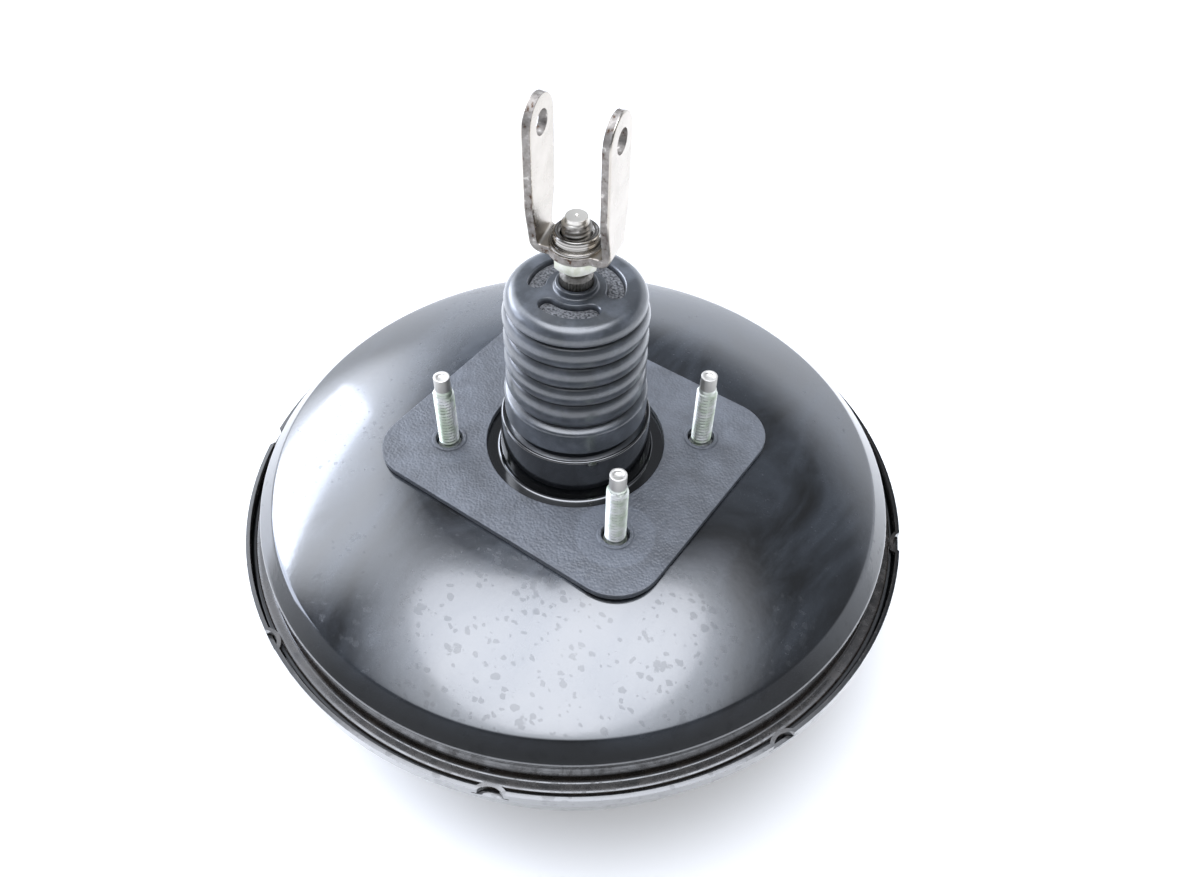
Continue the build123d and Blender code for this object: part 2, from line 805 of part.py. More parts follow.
def poppet():
    """Rubber valve poppet: stiff face over the seats, thin rolling wall, bead in the tail's bore."""
    low, high = poppet_low, poppet_low + poppet_height
    bore = tail_bore_radius - seat_gap / 2
    hole = rod_radius + 2.3
    return turned(
        (hole, low),
        (valve_seat_radius + 1.4, low),
        (valve_seat_radius + 1.4, low + 2.2),
        (valve_seat_radius - 0.8, low + 4),
        (valve_seat_radius - 0.2, high - poppet_bead),
        (bore, high - poppet_bead),
        (bore, high - 1 - press_gap),
        (valve_seat_radius - 1.2, high - 1 - press_gap),
        (valve_seat_radius - 1.8, low + 2.2),
        (hole, low + 2.2),
    )


def poppet_retainer():
    """Pressed cup that pins the poppet's bead and carries both springs."""
    high = retainer_top
    low = high - poppet_cup_depth
    outer = valve_seat_radius - 1.4
    return turned(
        (rod_radius + 3.2, low),
        (outer, low),
        (outer, high - cup_gauge),
        (tail_bore_radius - press_gap, high - cup_gauge),
        (tail_bore_radius - press_gap, high),
        (outer - cup_gauge, high),
        (outer - cup_gauge, low + cup_gauge),
        (rod_radius + 3.2, low + cup_gauge),
    )


def poppet_spring():
    radius = rod_radius + 4.4
    high = retainer_top - poppet_cup_depth
    return coil(radius, radius, poppet_wire, poppet_low + 2.2, high, 4)


def silencer():
    outer = tail_bore_radius - seat_gap
    return ring(filter_hole_radius, outer, silencer_low, silencer_low + silencer_height)


def air_filter():
    return ring(filter_hole_radius, tail_bore_radius - seat_gap, felt_low, felt_low + felt_height)


# ---- Plunger and push rod ---------------------------------------------------------------

def valve_plunger():
    """Turned plunger: key groove, air-valve flange, and the crimped socket for the rod's ball."""
    groove = plunger_radius - 2.2 - running_gap
    groove_low, groove_high = key_low - 0.3, key_top + plunger_travel + 0.3
    plunger = turned(
        (0, plunger_low),
        (plunger_radius - 0.8, plunger_low),
        (plunger_radius, plunger_low + 0.8),
        (plunger_radius, groove_low),
        (groove, groove_low),
        (groove, groove_high),
        (plunger_radius, groove_high),
        (plunger_radius, plunger_flange_low),
        (plunger_flange_radius, plunger_flange_low),
        (plunger_flange_radius, plunger_flange_top),
        (0, plunger_flange_top),
    )
    socket = ball_radius + running_gap
    lip = ball_radius - 0.4
    plunger -= Pos(0, 0, ball_height) * Sphere(socket)
    plunger -= bar(lip, ball_height, plunger_flange_top + 1)
    return plunger


def input_rod():
    """Push rod: ball end, neck, shank, knurled grip and threaded end."""
    ball = Pos(0, 0, ball_height) * Sphere(ball_radius)
    neck_low = ball_height + ball_radius * 0.6
    shank_low = plunger_flange_top + 2
    rod = turned(
        (0, neck_low),
        (rod_neck_radius, neck_low),
        (rod_neck_radius, shank_low),
        (rod_radius, shank_low + 2),
        (rod_radius, knurl_low - 1),
        (knurl_radius, knurl_low),
        (knurl_radius, knurl_high - knurl_chamfer),
        (rod_radius, knurl_high),
        (rod_radius, rod_top - 2.4),
        (rod_tip_radius, rod_top - 0.6),
        (rod_tip_radius - 0.6, rod_top),
        (0, rod_top),
    )
    return ball + rod


def rod_spring_seat():
    low, high = spring_seat_low, spring_seat_low + cup_gauge
    return ring(rod_radius + press_gap, spring_seat_radius, low, high)


def rod_return_spring():
    radius = rod_spring_radius
    return coil(radius, radius, rod_spring_wire, retainer_top, spring_seat_low, rod_spring_turns)


clevis_low = nut_low + nut_height
clevis_base_top = clevis_low + clevis_gauge


def lock_nut():
    hexagon = RegularPolygon(nut_across_flats / 2, 6, major_radius=False)
    nut = Pos(0, 0, nut_low) * extrude(hexagon, nut_height)
    corner = nut_across_flats / math.sqrt(3)
    rounding = turned(
        (0, nut_low),
        (corner - 1.0, nut_low),
        (corner, nut_low + 0.6),
        (corner, clevis_low - 0.6),
        (corner - 1.0, clevis_low),
        (0, clevis_low),
    )
    return (nut & rounding) - bar(rod_radius + press_gap, nut_low - 1, clevis_low + 1)


def clevis():
    """Fork bent from one strip: rounded legs that narrow into the bends, pinned across the gap."""
    half = clevis_gap / 2 + clevis_gauge
    top = pin_height + clevis_width / 2
    strip = FilletPolyline(
        (-half, top), (-half, clevis_low), (half, clevis_low), (half, top), radius=clevis_bend
    )
    section = Face(Wire(strip.edges()).offset_2d(clevis_gauge, side=Side.LEFT))
    blank = extrude(Plane.XZ * section, clevis_base_width / 2, both=True)
    bend_top = clevis_low + clevis_bend
    leg = make_face(Polyline(
        (-clevis_foot_width / 2, bend_top),
        (clevis_foot_width / 2, bend_top),
        (clevis_width / 2, bend_top + clevis_slant),
        (clevis_width / 2, pin_height),
        (-clevis_width / 2, pin_height),
        (-clevis_width / 2, bend_top + clevis_slant),
        close=True,
    ))
    leg += Pos(0, pin_height) * Circle(clevis_width / 2)
    legs = extrude(Plane.YZ * leg, half + 1, both=True)
    base = extrude(Rectangle(2 * half + 2, clevis_foot_width) + Circle(clevis_base_width / 2), clevis_bend)
    fork = blank & (legs + Pos(0, 0, clevis_low) * base)
    fork -= Pos(0, 0, pin_height) * Rot(0, 90, 0) * Cylinder(pin_hole_radius, 2 * half + 2)
    fork -= bar(rod_radius + press_gap, clevis_low - 1, clevis_base_top + 1)
    return Rot(0, 0, clevis_angle) * fork


def clevis_boss():
    """Round threaded boss welded inside the fork."""
    return turned(
        (rod_radius + press_gap, clevis_base_top),
        (boss_flange_radius, clevis_base_top),
        (boss_flange_radius, clevis_base_top + boss_flange_height),
        (boss_radius, clevis_base_top + boss_flange_height),
        (boss_radius, clevis_base_top + boss_height - 0.8),
        (boss_radius - 0.8, clevis_base_top + boss_height),
        (rod_radius + 0.8, clevis_base_top + boss_height),
        (rod_radius + press_gap, clevis_base_top + boss_height - 0.8),
    )


# ---- Write every node -------------------------------------------------------------------

for build in (
    front_shell, rear_shell, rear_reinforcement_plate, firewall_gasket, neck_bearing,
    neck_seal, seal_retainer, front_reinforcement_plate, front_seal, front_seal_retainer,
    return_spring, diaphragm, boot, check_valve_grommet, check_valve_body, check_valve_disc,
    check_valve_spring, valve_body, diaphragm_plate, diaphragm_retainer, reaction_disc,
    output_rod, output_rod_adjuster, output_rod_retainer, stop_key, poppet, poppet_retainer,
    poppet_spring, silencer, air_filter, valve_plunger, input_rod, rod_spring_seat,
    rod_return_spring, lock_nut, clevis, clevis_boss,
):
    save(build(), build.__name__)
for number, (x, y) in enumerate(stud_places, 1):
    reach = gasket_top + stud_thread_length + stud_tip_length
    grip = rear_plate_gauge + shell_gauge
    save(stud(x, y, rear_plate_low, grip, reach, 1), f"firewall_stud_{number}")
for number, way in enumerate((-1, 1), 1):
    x = way * cylinder_stud_pcd / 2
    reach = recess_depth - cylinder_stud_length
    grip = front_plate_gauge + shell_gauge
    save(stud(x, 0, front_plate_top, grip, reach, -1), f"master_cylinder_stud_{number}")
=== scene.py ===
import math

import bmesh
import bpy
import numpy as np
from mathutils import Matrix, Vector


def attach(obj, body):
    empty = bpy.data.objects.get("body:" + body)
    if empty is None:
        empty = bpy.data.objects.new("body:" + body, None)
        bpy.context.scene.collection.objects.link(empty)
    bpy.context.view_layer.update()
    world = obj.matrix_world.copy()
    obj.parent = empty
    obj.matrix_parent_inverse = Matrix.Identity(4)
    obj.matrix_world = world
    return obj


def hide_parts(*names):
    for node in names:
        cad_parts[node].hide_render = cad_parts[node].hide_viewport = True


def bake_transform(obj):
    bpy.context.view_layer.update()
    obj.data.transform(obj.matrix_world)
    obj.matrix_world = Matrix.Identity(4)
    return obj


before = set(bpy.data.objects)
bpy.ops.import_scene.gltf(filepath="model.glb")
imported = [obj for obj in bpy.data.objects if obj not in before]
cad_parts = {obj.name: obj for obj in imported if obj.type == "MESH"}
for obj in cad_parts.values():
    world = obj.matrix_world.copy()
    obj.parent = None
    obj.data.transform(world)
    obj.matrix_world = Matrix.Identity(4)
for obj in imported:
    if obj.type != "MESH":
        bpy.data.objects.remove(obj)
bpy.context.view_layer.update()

# Studio. The booster stands front shell down on a pale paper sheet. Two soft windows light it from
# one side and a round soft lamp from above. The far walls of the room are light low down, and a
# soft glow lies round the lamp and round the windows.

view_azimuth, view_elevation, view_roll = 34.0, 47.8, 1.8    # degrees
view_place = (0.1573, -0.2159, 0.3953)
camera = bpy.data.objects.new("camera", bpy.data.cameras.new("camera"))
camera.data.sensor_width = 36.0
camera.data.lens = 29.95
camera.matrix_world = (
    Matrix.Translation(view_place)
    @ Matrix.Rotation(math.radians(view_azimuth), 4, "Z")
    @ Matrix.Rotation(math.radians(90.0 - view_elevation), 4, "X")
    @ Matrix.Rotation(math.radians(view_roll), 4, "Z")
)
bpy.context.scene.collection.objects.link(camera)
bpy.context.scene.camera = camera
bpy.context.scene.view_settings.view_transform = "Standard"


def linear(code):
    """An sRGB hex colour as linear RGBA."""
    channels = [int(code[k:k + 2], 16) / 255 for k in (1, 3, 5)]
    return [c / 12.92 if c <= 0.04045 else ((c + 0.055) / 1.055) ** 2.4 for c in channels] + [1.0]


def supply(target, value):
    """Gives an input its value: a constant, or the socket that it comes from."""
    if isinstance(value, bpy.types.NodeSocket):
        target.id_data.links.new(value, target)
    else:
        target.default_value = value


def add_node(tree, kind, settings=None):
    """Adds a node; each setting goes to the input of that name or number, or else to a property."""
    node = tree.nodes.new(kind)
    settings = settings or {}
    for name, value in settings.items():
        if isinstance(name, str) and name not in node.inputs:
            setattr(node, name, value)
    for name, value in settings.items():
        if not isinstance(name, str) or name in node.inputs:
            supply(node.inputs[name], value)
    return node


def worked_out(operation, *values, clamp=False):
    """The socket that holds a sum, product or the like of numbers and sockets, a socket first."""
    settings = {"operation": operation, "use_clamp": clamp, **dict(enumerate(values))}
    return add_node(values[0].id_data, "ShaderNodeMath", settings).outputs[0]


def remapped(value, low, high, to_low=0.0, to_high=1.0, curve="LINEAR"):
    """The socket that holds a socket's value brought from one range to another and kept in it."""
    settings = {"interpolation_type": curve, "Value": value, "From Min": low, "From Max": high}
    settings.update({"To Min": to_low, "To Max": to_high})
    return add_node(value.id_data, "ShaderNodeMapRange", settings).outputs[0]


def new_material(name, colour, roughness, **more):
    """A material with its shader's own constants set; returns (material, tree, shader)."""
    material = bpy.data.materials.new(name)
    material.use_nodes = True
    tree = material.node_tree
    shader = tree.nodes["Principled BSDF"]
    shader.inputs["Base Color"].default_value = linear(colour)
    shader.inputs["Roughness"].default_value = roughness
    for socket, value in more.items():
        shader.inputs[socket.replace("_", " ")].default_value = value
    return material, tree, shader


def set_stops(ramp, first, *others):
    """Gives a colour ramp its stops, each a position and an sRGB hex colour."""
    elements = ramp.color_ramp.elements
    elements[0].position, elements[0].color = first[0], linear(first[1])
    elements[1].position, elements[1].color = others[-1][0], linear(others[-1][1])
    for position, colour in others[:-1]:
        elements.new(position).color = linear(colour)


def axis_distance(tree, place):
    """The socket that holds how far a surface point lies from the booster's axis."""
    flat = add_node(tree, "ShaderNodeCombineXYZ", {0: place.outputs["X"], 1: place.outputs["Y"]})
    length = add_node(tree, "ShaderNodeVectorMath", {"operation": "LENGTH", 0: flat.outputs[0]})
    return length.outputs["Value"]


room = bpy.data.worlds.new("studio room")
room.use_nodes = True
bpy.context.scene.world = room
direction = add_node(room.node_tree, "ShaderNodeTexCoord")
direction_parts = add_node(
    room.node_tree, "ShaderNodeSeparateXYZ", {0: direction.outputs["Generated"]},
)
below_ceiling = remapped(direction_parts.outputs["Z"], 0.58, 0.36)
far_away = add_node(
    room.node_tree, "ShaderNodeVectorMath",
    {"operation": "DOT_PRODUCT", 0: direction.outputs["Generated"], 1: (-0.56, 0.83, 0.0)},
)
far_side = remapped(far_away.outputs["Value"], -0.35, 0.5, 0.12)
far_walls = worked_out("MULTIPLY", below_ceiling, far_side)
room_light = worked_out("MULTIPLY_ADD", far_walls, 1.2, 0.18)
for towards, edge, full, strength in (       # direction, cosines where a glow starts and is full
    ((-0.02, -0.05, 0.998), 0.78, 0.98, 3.4),
    ((-0.821, 0.115, 0.559), 0.88, 0.98, 3.2),
):
    facing = add_node(
        room.node_tree, "ShaderNodeVectorMath",
        {"operation": "DOT_PRODUCT", 0: direction.outputs["Generated"], 1: towards},
    )
    glow = remapped(facing.outputs["Value"], edge, full, 0.0, strength, "SMOOTHSTEP")
    room_light = worked_out("ADD", room_light, glow)
background = room.node_tree.nodes["Background"]
background.inputs["Color"].default_value = linear("#eef4ff")
room.node_tree.links.new(room_light, background.inputs["Strength"])


def add_lamp(name, azimuth, elevation, distance, size, radiance, colour, shape="RECTANGLE"):
    """A soft lamp that faces the booster from a compass angle in degrees; size is in metres."""
    lamp = bpy.data.lights.new(name, "AREA")
    lamp.shape = shape
    lamp.size, lamp.size_y = size
    area = size[0] * size[1] * (1.0 if shape == "RECTANGLE" else math.pi / 4)
    lamp.energy = radiance * math.pi * area
    lamp.color = linear(colour)[:3]
    place = bpy.data.objects.new(name, lamp)
    a, e = math.radians(azimuth), math.radians(elevation)
    out = Vector((math.cos(a) * math.cos(e), math.sin(a) * math.cos(e), math.sin(e)))
    place.location = Vector((0, 0, 0.1)) + out * distance
    place.rotation_euler = out.to_track_quat("Z", "Y").to_euler()
    bpy.context.scene.collection.objects.link(place)


add_lamp("window", 178, 26, 1.6, (0.95, 0.5), 6.0, "#e2ebff")
add_lamp("ceiling lamp", 180, 86.6, 1.6, (1.44, 1.44), 2.9, "#f3f6ff", "ELLIPSE")
add_lamp("side window", -157, 20, 1.7, (0.8, 0.8), 4.2, "#dfe9ff")

sheet_size = 8.0          # metres
sheet_mesh = bpy.data.meshes.new("floor sheet")
half_sheet, sheet_level = sheet_size / 2, -0.0002
quarters = ((-1, -1), (1, -1), (1, 1), (-1, 1))
corners = [(x * half_sheet, y * half_sheet, sheet_level) for x, y in quarters]
sheet_mesh.from_pydata(corners, [], [(0, 1, 2, 3)])
floor = bpy.data.objects.new("floor sheet", sheet_mesh)
bpy.context.scene.collection.objects.link(floor)
paper, tree, shader = new_material("white paper", "#ececec", 0.9)
seen_by = add_node(tree, "ShaderNodeLightPath")
seen = worked_out("MAXIMUM", seen_by.outputs["Is Camera Ray"], seen_by.outputs["Is Glossy Ray"])
shown = worked_out("MAXIMUM", seen, seen_by.outputs["Is Transmission Ray"])
lift = worked_out("MULTIPLY", shown, 0.27)
shader.inputs["Emission Color"].default_value = linear("#ffffff")
tree.links.new(lift, shader.inputs["Emission Strength"])
sheet_mesh.materials.append(paper)

# Rear shell. One pressed steel bowl, gloss black enamelled: stepped wall, rolled shoulder, domed
# face, flat for the firewall, and a drawn neck. The draw rings of the press stay in its wall.

MM = 0.001


def rounded(corners, radii, step=6.0):
    """Points along a polyline whose inner corners are arcs of these radii, one every step degrees."""
    points = [corners[0]]
    for before, here, after, radius in zip(corners, corners[1:], corners[2:], radii):
        p, q, r = Vector(before), Vector(here), Vector(after)
        into, out = (q - p).normalized(), (r - q).normalized()
        turn = math.acos(max(-1.0, min(1.0, into.dot(out))))
        if turn < 1e-3 or radius == 0:
            points.append(tuple(q))
            continue
        start = q - into * radius * math.tan(turn / 2)
        side = 1 if into.x * out.y - into.y * out.x > 0 else -1
        centre = start + Vector((-into.y, into.x)) * radius * side
        count = max(2, math.ceil(math.degrees(turn) / step))
        for k in range(count + 1):
            spoke = start - centre
            spoke.rotate(Matrix.Rotation(side * turn * k / count, 2))
            points.append(tuple(centre + spoke))
    return points + [corners[-1]]


def filled_in(points, spacing):
    """The same line with extra points, so that no run is longer than the spacing."""
    dense = [points[0]]
    for p, q in zip(points, points[1:]):
        run = math.dist(p, q)
        count = max(1, math.ceil(run / spacing))
        for k in range(1, count + 1):
            dense.append((p[0] + (q[0] - p[0]) * k / count, p[1] + (q[1] - p[1]) * k / count))
    return dense


def with_back(points, gauge):
    """A closed outline: the line, then back again a sheet's gauge to its right, with rounded ends."""
    line = np.array(points, float)
    along = np.gradient(line, axis=0)
    along /= np.linalg.norm(along, axis=1)[:, None]
    right = np.stack([along[:, 1], -along[:, 0]], 1)
    back = line + gauge * right
    sweep = np.linspace(0, math.pi, 9)[1:-1, None]
    middle = line[[0, -1]] + gauge / 2 * right[[0, -1]]
    last = middle[1] + gauge / 2 * (np.sin(sweep) * along[-1] - np.cos(sweep) * right[-1])
    first = middle[0] - gauge / 2 * (np.sin(sweep) * along[0] - np.cos(sweep) * right[0])
    return [tuple(p) for part in (line, last, back[::-1], first) for p in part]


def linked(name, mesh, crease):
    """Links a mesh as an object, smooth apart from creases sharper than an angle in degrees."""
    mesh.shade_smooth()
    mesh.set_sharp_from_angle(angle=math.radians(crease))
    piece = bpy.data.objects.new(name, mesh)
    bpy.context.scene.collection.objects.link(piece)
    return piece


def add_piece(name, mesh, material, body, crease=35.0):
    """A piece of one material that rides on a body."""
    mesh.materials.append(material)
    piece = linked(name, mesh, crease)
    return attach(piece, body)


def dress(material, *names):
    """Gives CAD nodes a material."""
    for name in names:
        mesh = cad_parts[name].data
        mesh.materials.clear()
        mesh.materials.append(material)


def turned_mesh(name, outline, around, shape=None, closed=True, place=(0, 0)):
    """A mesh turned about Z from (radius, height) points in millimetres. shape(angle, radius,
    height) may return moved radii and heights."""
    radius, level = (np.array(values, float) for values in zip(*outline))
    angle = np.linspace(0, 2 * math.pi, around, endpoint=False)
    angles = np.repeat(angle[:, None], len(radius), 1)
    radii = np.repeat(radius[None], around, 0)
    levels = np.repeat(level[None], around, 0)
    if shape:
        radii, levels = shape(angles, radii, levels)
    points = np.stack(
        [radii * np.cos(angles) + place[0], radii * np.sin(angles) + place[1], levels], -1,
    )
    rows = len(radius)
    spans = rows if closed else rows - 1
    faces = []
    for a in range(around):
        b = (a + 1) % around
        for k in range(spans):
            n = (k + 1) % rows
            faces.append((a * rows + k, b * rows + k, b * rows + n, a * rows + n))
    mesh = bpy.data.meshes.new(name)
    mesh.from_pydata((points.reshape(-1, 3) * MM).tolist(), [], faces)
    work = bmesh.new()
    work.from_mesh(mesh)
    bmesh.ops.remove_doubles(work, verts=work.verts, dist=1e-6)
    bmesh.ops.recalc_face_normals(work, faces=work.faces)
    work.to_mesh(mesh)
    work.free()
    return mesh


# Gloss enamel, sprayed and stoved: a wet, slightly orange-peeled black that mirrors the lamps
# softly. Wiped dirt lies on it as a bluish film in patches, dried water drops a few millimetres wide
# take its gloss off, hair scratches run across it, and road dust lies down in the groove of the rim.
enamel, tree, shader = new_material(
    "gloss black enamel", "#07080a", 0.2, IOR=1.7, Coat_Weight=1.0, Coat_Roughness=0.11, Coat_IOR=1.7,
)
spot_spacing, blotch_spacing, ragged_width = 2.6, 8.5, 3.85      # millimetres, as are the next two
film_patch, grit_width = 38.5, 5.0
scratch_width, peel_width = 0.6, 2.5       # hair scratches are finer, drawn coarser so that they show
where = add_node(tree, "ShaderNodeTexCoord").outputs["Object"]
place = add_node(tree, "ShaderNodeSeparateXYZ", {0: where})
warp = add_node(
    tree, "ShaderNodeTexNoise", {"Scale": 1000 / ragged_width, "Detail": 2.0, "Vector": where},
)
smear_run = add_node(
    tree, "ShaderNodeMapping",
    {"Rotation": (0.0, 0.0, 0.7), "Scale": (1.0, 0.45, 1.0), "Vector": where},
)
cloud = add_node(
    tree, "ShaderNodeTexNoise", {
        "Scale": 1000 / film_patch, "Detail": 6.0, "Roughness": 0.62, "Distortion": 0.6,
        "Vector": smear_run.outputs[0],
    },
)
ragged = add_node(
    tree, "ShaderNodeMix", {"data_type": "VECTOR", 0: 0.003, 4: where, 5: warp.outputs["Color"]},
)
run_down = add_node(
    tree, "ShaderNodeMapping",
    {"Rotation": (0.0, 0.0, -0.5), "Scale": (0.72, 1.0, 1.0), "Vector": ragged.outputs[1]},
)
drops = add_node(
    tree, "ShaderNodeTexVoronoi", {"Scale": 1000 / spot_spacing, "Vector": run_down.outputs[0]},
)
torn_edge = add_node(
    tree, "ShaderNodeMix", {"data_type": "VECTOR", 0: 0.011, 4: where, 5: warp.outputs["Color"]},
)
blotches = add_node(
    tree, "ShaderNodeTexVoronoi", {"Scale": 1000 / blotch_spacing, "Vector": torn_edge.outputs[1]},
)
blotch_chance = add_node(tree, "ShaderNodeSeparateColor", {0: blotches.outputs["Color"]})
blotch_size = remapped(blotch_chance.outputs[0], 0.35, 1.0, 0.0, 0.36)
drop_chance = add_node(tree, "ShaderNodeSeparateColor", {0: drops.outputs["Color"]})
drop_size = remapped(drop_chance.outputs[0], 0.05, 1.0, 0.0, 0.52)
splashed_side = add_node(
    tree, "ShaderNodeVectorMath", {"operation": "DOT_PRODUCT", 0: where, 1: (0.6, -0.8, 0.0)},
)
splashed = remapped(splashed_side.outputs["Value"], 0.02, 0.09, 0.0, 0.26)
wet_sum = worked_out("ADD", splashed, cloud.outputs["Fac"])
wetted = remapped(wet_sum, 0.46, 0.68, 0.3)
drop_edge = worked_out("MULTIPLY", drop_size, wetted)
inside_drop = worked_out("SUBTRACT", drop_edge, drops.outputs["Distance"])
blotch_edge = worked_out("MULTIPLY", blotch_size, wetted)
inside_blotch = worked_out("SUBTRACT", blotch_edge, blotches.outputs["Distance"])
inside_either = worked_out("MAXIMUM", inside_drop, inside_blotch)
spot_mask = remapped(inside_either, 0.0, 0.08)

from_axis = axis_distance(tree, place)
outside_neck = remapped(from_axis, 0.033, 0.045)
on_dome = remapped(place.outputs["Z"], 0.082, 0.090)
film_place = worked_out("MULTIPLY", outside_neck, on_dome)
film = remapped(cloud.outputs["Fac"], 0.36, 0.68, 0.0, film_place)
film_rough = worked_out("MULTIPLY_ADD", film, 0.2, 0.1)
gloss_less_film = worked_out("MULTIPLY_ADD", film, -0.2, 1.0)
gloss_less_spots = worked_out("MULTIPLY_ADD", spot_mask, -0.27, gloss_less_film)
spot_rough = worked_out("MULTIPLY_ADD", spot_mask, 0.1, film_rough)
film_share = worked_out("MULTIPLY", film, 0.22)
filmed = add_node(
    tree, "ShaderNodeMix",
    {"data_type": "RGBA", 0: film_share, 6: linear("#08090a"), 7: linear("#76808d")},
)
inside_lip = remapped(from_axis, 0.1338, 0.1326)
below_shoulder = remapped(place.outputs["Z"], 0.0770, 0.0700)
above_wall = remapped(place.outputs["Z"], 0.0655, 0.0665)
dust_level = worked_out("MULTIPLY", below_shoulder, above_wall)
dust_place = worked_out("MULTIPLY", dust_level, inside_lip)
grit = add_node(
    tree, "ShaderNodeTexNoise",
    {"Scale": 1000 / grit_width, "Detail": 5.0, "Roughness": 0.6, "Vector": where},
)
grit_mask = remapped(grit.outputs["Fac"], 0.22, 0.78)
dust = worked_out("MULTIPLY", dust_place, grit_mask)
gloss = worked_out("MULTIPLY_ADD", dust, -0.8, gloss_less_spots, clamp=True)
dust_share = worked_out("MULTIPLY", dust, 0.4)
colour = add_node(
    tree, "ShaderNodeMix",
    {"data_type": "RGBA", 0: dust_share, 6: filmed.outputs[2], 7: linear("#51463b")},
)
rough = worked_out("MULTIPLY_ADD", dust, 0.3, spot_rough)
peel = add_node(
    tree, "ShaderNodeTexNoise", {"Scale": 1000 / peel_width, "Detail": 1.0, "Vector": where},
)
wavering = add_node(
    tree, "ShaderNodeMix", {"data_type": "VECTOR", 0: 0.02, 4: where, 5: warp.outputs["Color"]},
)
stretched = add_node(
    tree, "ShaderNodeMapping",
    {"Rotation": (0.0, 0.0, 0.9), "Scale": (1.0, 0.04, 1.0), "Vector": wavering.outputs[1]},
)
scratches = add_node(
    tree, "ShaderNodeTexNoise",
    {"Scale": 1000 / scratch_width, "Detail": 2.0, "Vector": stretched.outputs[0]},
)
scratch_mask = remapped(scratches.outputs["Fac"], 0.66, 0.72)
scratched = worked_out("MULTIPLY_ADD", scratch_mask, 0.12, rough)
scratched_gloss = worked_out("MULTIPLY_ADD", scratch_mask, -0.16, gloss, clamp=True)
skin = add_node(
    tree, "ShaderNodeBump", {"Strength": 0.05, "Distance": 0.0004, "Height": peel.outputs["Fac"]},
)
tree.links.new(colour.outputs[2], shader.inputs["Base Color"])
tree.links.new(scratched, shader.inputs["Roughness"])
tree.links.new(scratched_gloss, shader.inputs["Coat Weight"])
tree.links.new(skin.outputs[0], shader.inputs["Normal"])

shell_gauge, flange_level, shoulder_level, plateau_level, neck_level = 1.5, 67.5, 80.0, 98.5, 118.5
neck_radius, plateau_radius, shoulder_radius, flange_radius = 29.8, 60.0, 126.9, 130.2
dome_fall = 0.00338        # the dome falls by this much times the square of the way past the plateau
dome = [
    (r, plateau_level - dome_fall * (r - plateau_radius) ** 2) for r in np.arange(66.0, 119.0, 1.5)
]
rear_outline = rounded(
    [
        (neck_radius - 1.15, neck_level - 0.8), (neck_radius, plateau_level),
        (plateau_radius, plateau_level), *dome, (120.8, 86.0), (shoulder_radius, shoulder_level),
        (126.0, flange_level), (flange_radius, flange_level),
    ],
    [1.4, 0.0] + [0.0] * len(dome) + [4.0, 2.0, 1.5],
    step=5.0,
)


def draw_rings(angles, radii, levels):
    """Fine rings that the drawing die leaves in the wall below the shoulder."""
    in_reach = (radii > 123) & (radii < shoulder_radius)
    wall = in_reach & (levels > flange_level + 1.1) & (levels < shoulder_level - 0.5)
    ripple = 0.04 * np.sin(levels * 2.1 + 0.5 * np.sin(angles * 3))
    return radii - np.where(wall, 0.05 + ripple, 0.0), levels


rear_section = with_back(filled_in(rear_outline, 1.2), shell_gauge)
rear_mesh = turned_mesh("rear_shell_pressing", rear_section, 360, draw_rings)
rear_piece = add_piece("rear_shell_pressing", rear_mesh, enamel, "housing")
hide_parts("rear_shell")

# Front shell. The deeper pressing, same enamel. Its lip stands up round the rear shell's flange
# and is lanced inwards at eight places to lock the two together.

dress(enamel, "front_shell")

# Firewall gasket. Stiff fibre board with a matt, finely grained rubber face, die cut, its corners
# standing out over the fall of the dome. A low ring is raised round each stud, and round one of
# them a washer has left a paler mark.

gasket_board, tree, shader = new_material("rubber-faced gasket board", "#4b4e54", 0.45, IOR=1.65)
where = add_node(tree, "ShaderNodeTexCoord").outputs["Object"]
grain_width, scuff_width = 1.0, 16.7       # millimetres
grain = add_node(
    tree, "ShaderNodeTexVoronoi",
    {"feature": "SMOOTH_F1", "Scale": 1000 / grain_width, "Smoothness": 0.6, "Vector": where},
)
scuffs = add_node(
    tree, "ShaderNodeTexNoise",
    {"Scale": 1000 / scuff_width, "Detail": 8.0, "Roughness": 0.7, "Vector": where},
)
wear = add_node(tree, "ShaderNodeValToRGB", {"Fac": scuffs.outputs["Fac"]})
set_stops(wear, (0.38, "#484b50"), (0.7, "#61656c"))
from_stud = add_node(
    tree, "ShaderNodeVectorMath", {"operation": "DISTANCE", 0: where, 1: (0.040, -0.030, 0.101)},
)
under_washer = remapped(from_stud.outputs["Value"], 0.0152, 0.0142, 0.0, 0.3)
washer_mark = add_node(
    tree, "ShaderNodeMix",
    {"data_type": "RGBA", 0: under_washer, 6: wear.outputs["Color"], 7: linear("#757a83")},
)
leather = add_node(
    tree, "ShaderNodeBump",
    {"Strength": 0.5, "Distance": 0.0004, "Height": grain.outputs["Distance"]},
)
tree.links.new(washer_mark.outputs[2], shader.inputs["Base Color"])
tree.links.new(leather.outputs["Normal"], shader.inputs["Normal"])

gasket_width, gasket_depth, gasket_corner = 126.0, 110.0, 18.0
gasket_hole_radius, stud_hole_radius, ring_radius = 35.2, 5.3, 7.1
gasket_thickness, ring_height, cut_edge = 2.5, 0.5, 0.35
stud_places = [(x, y) for x in (-40, 40) for y in (-30, 30)]


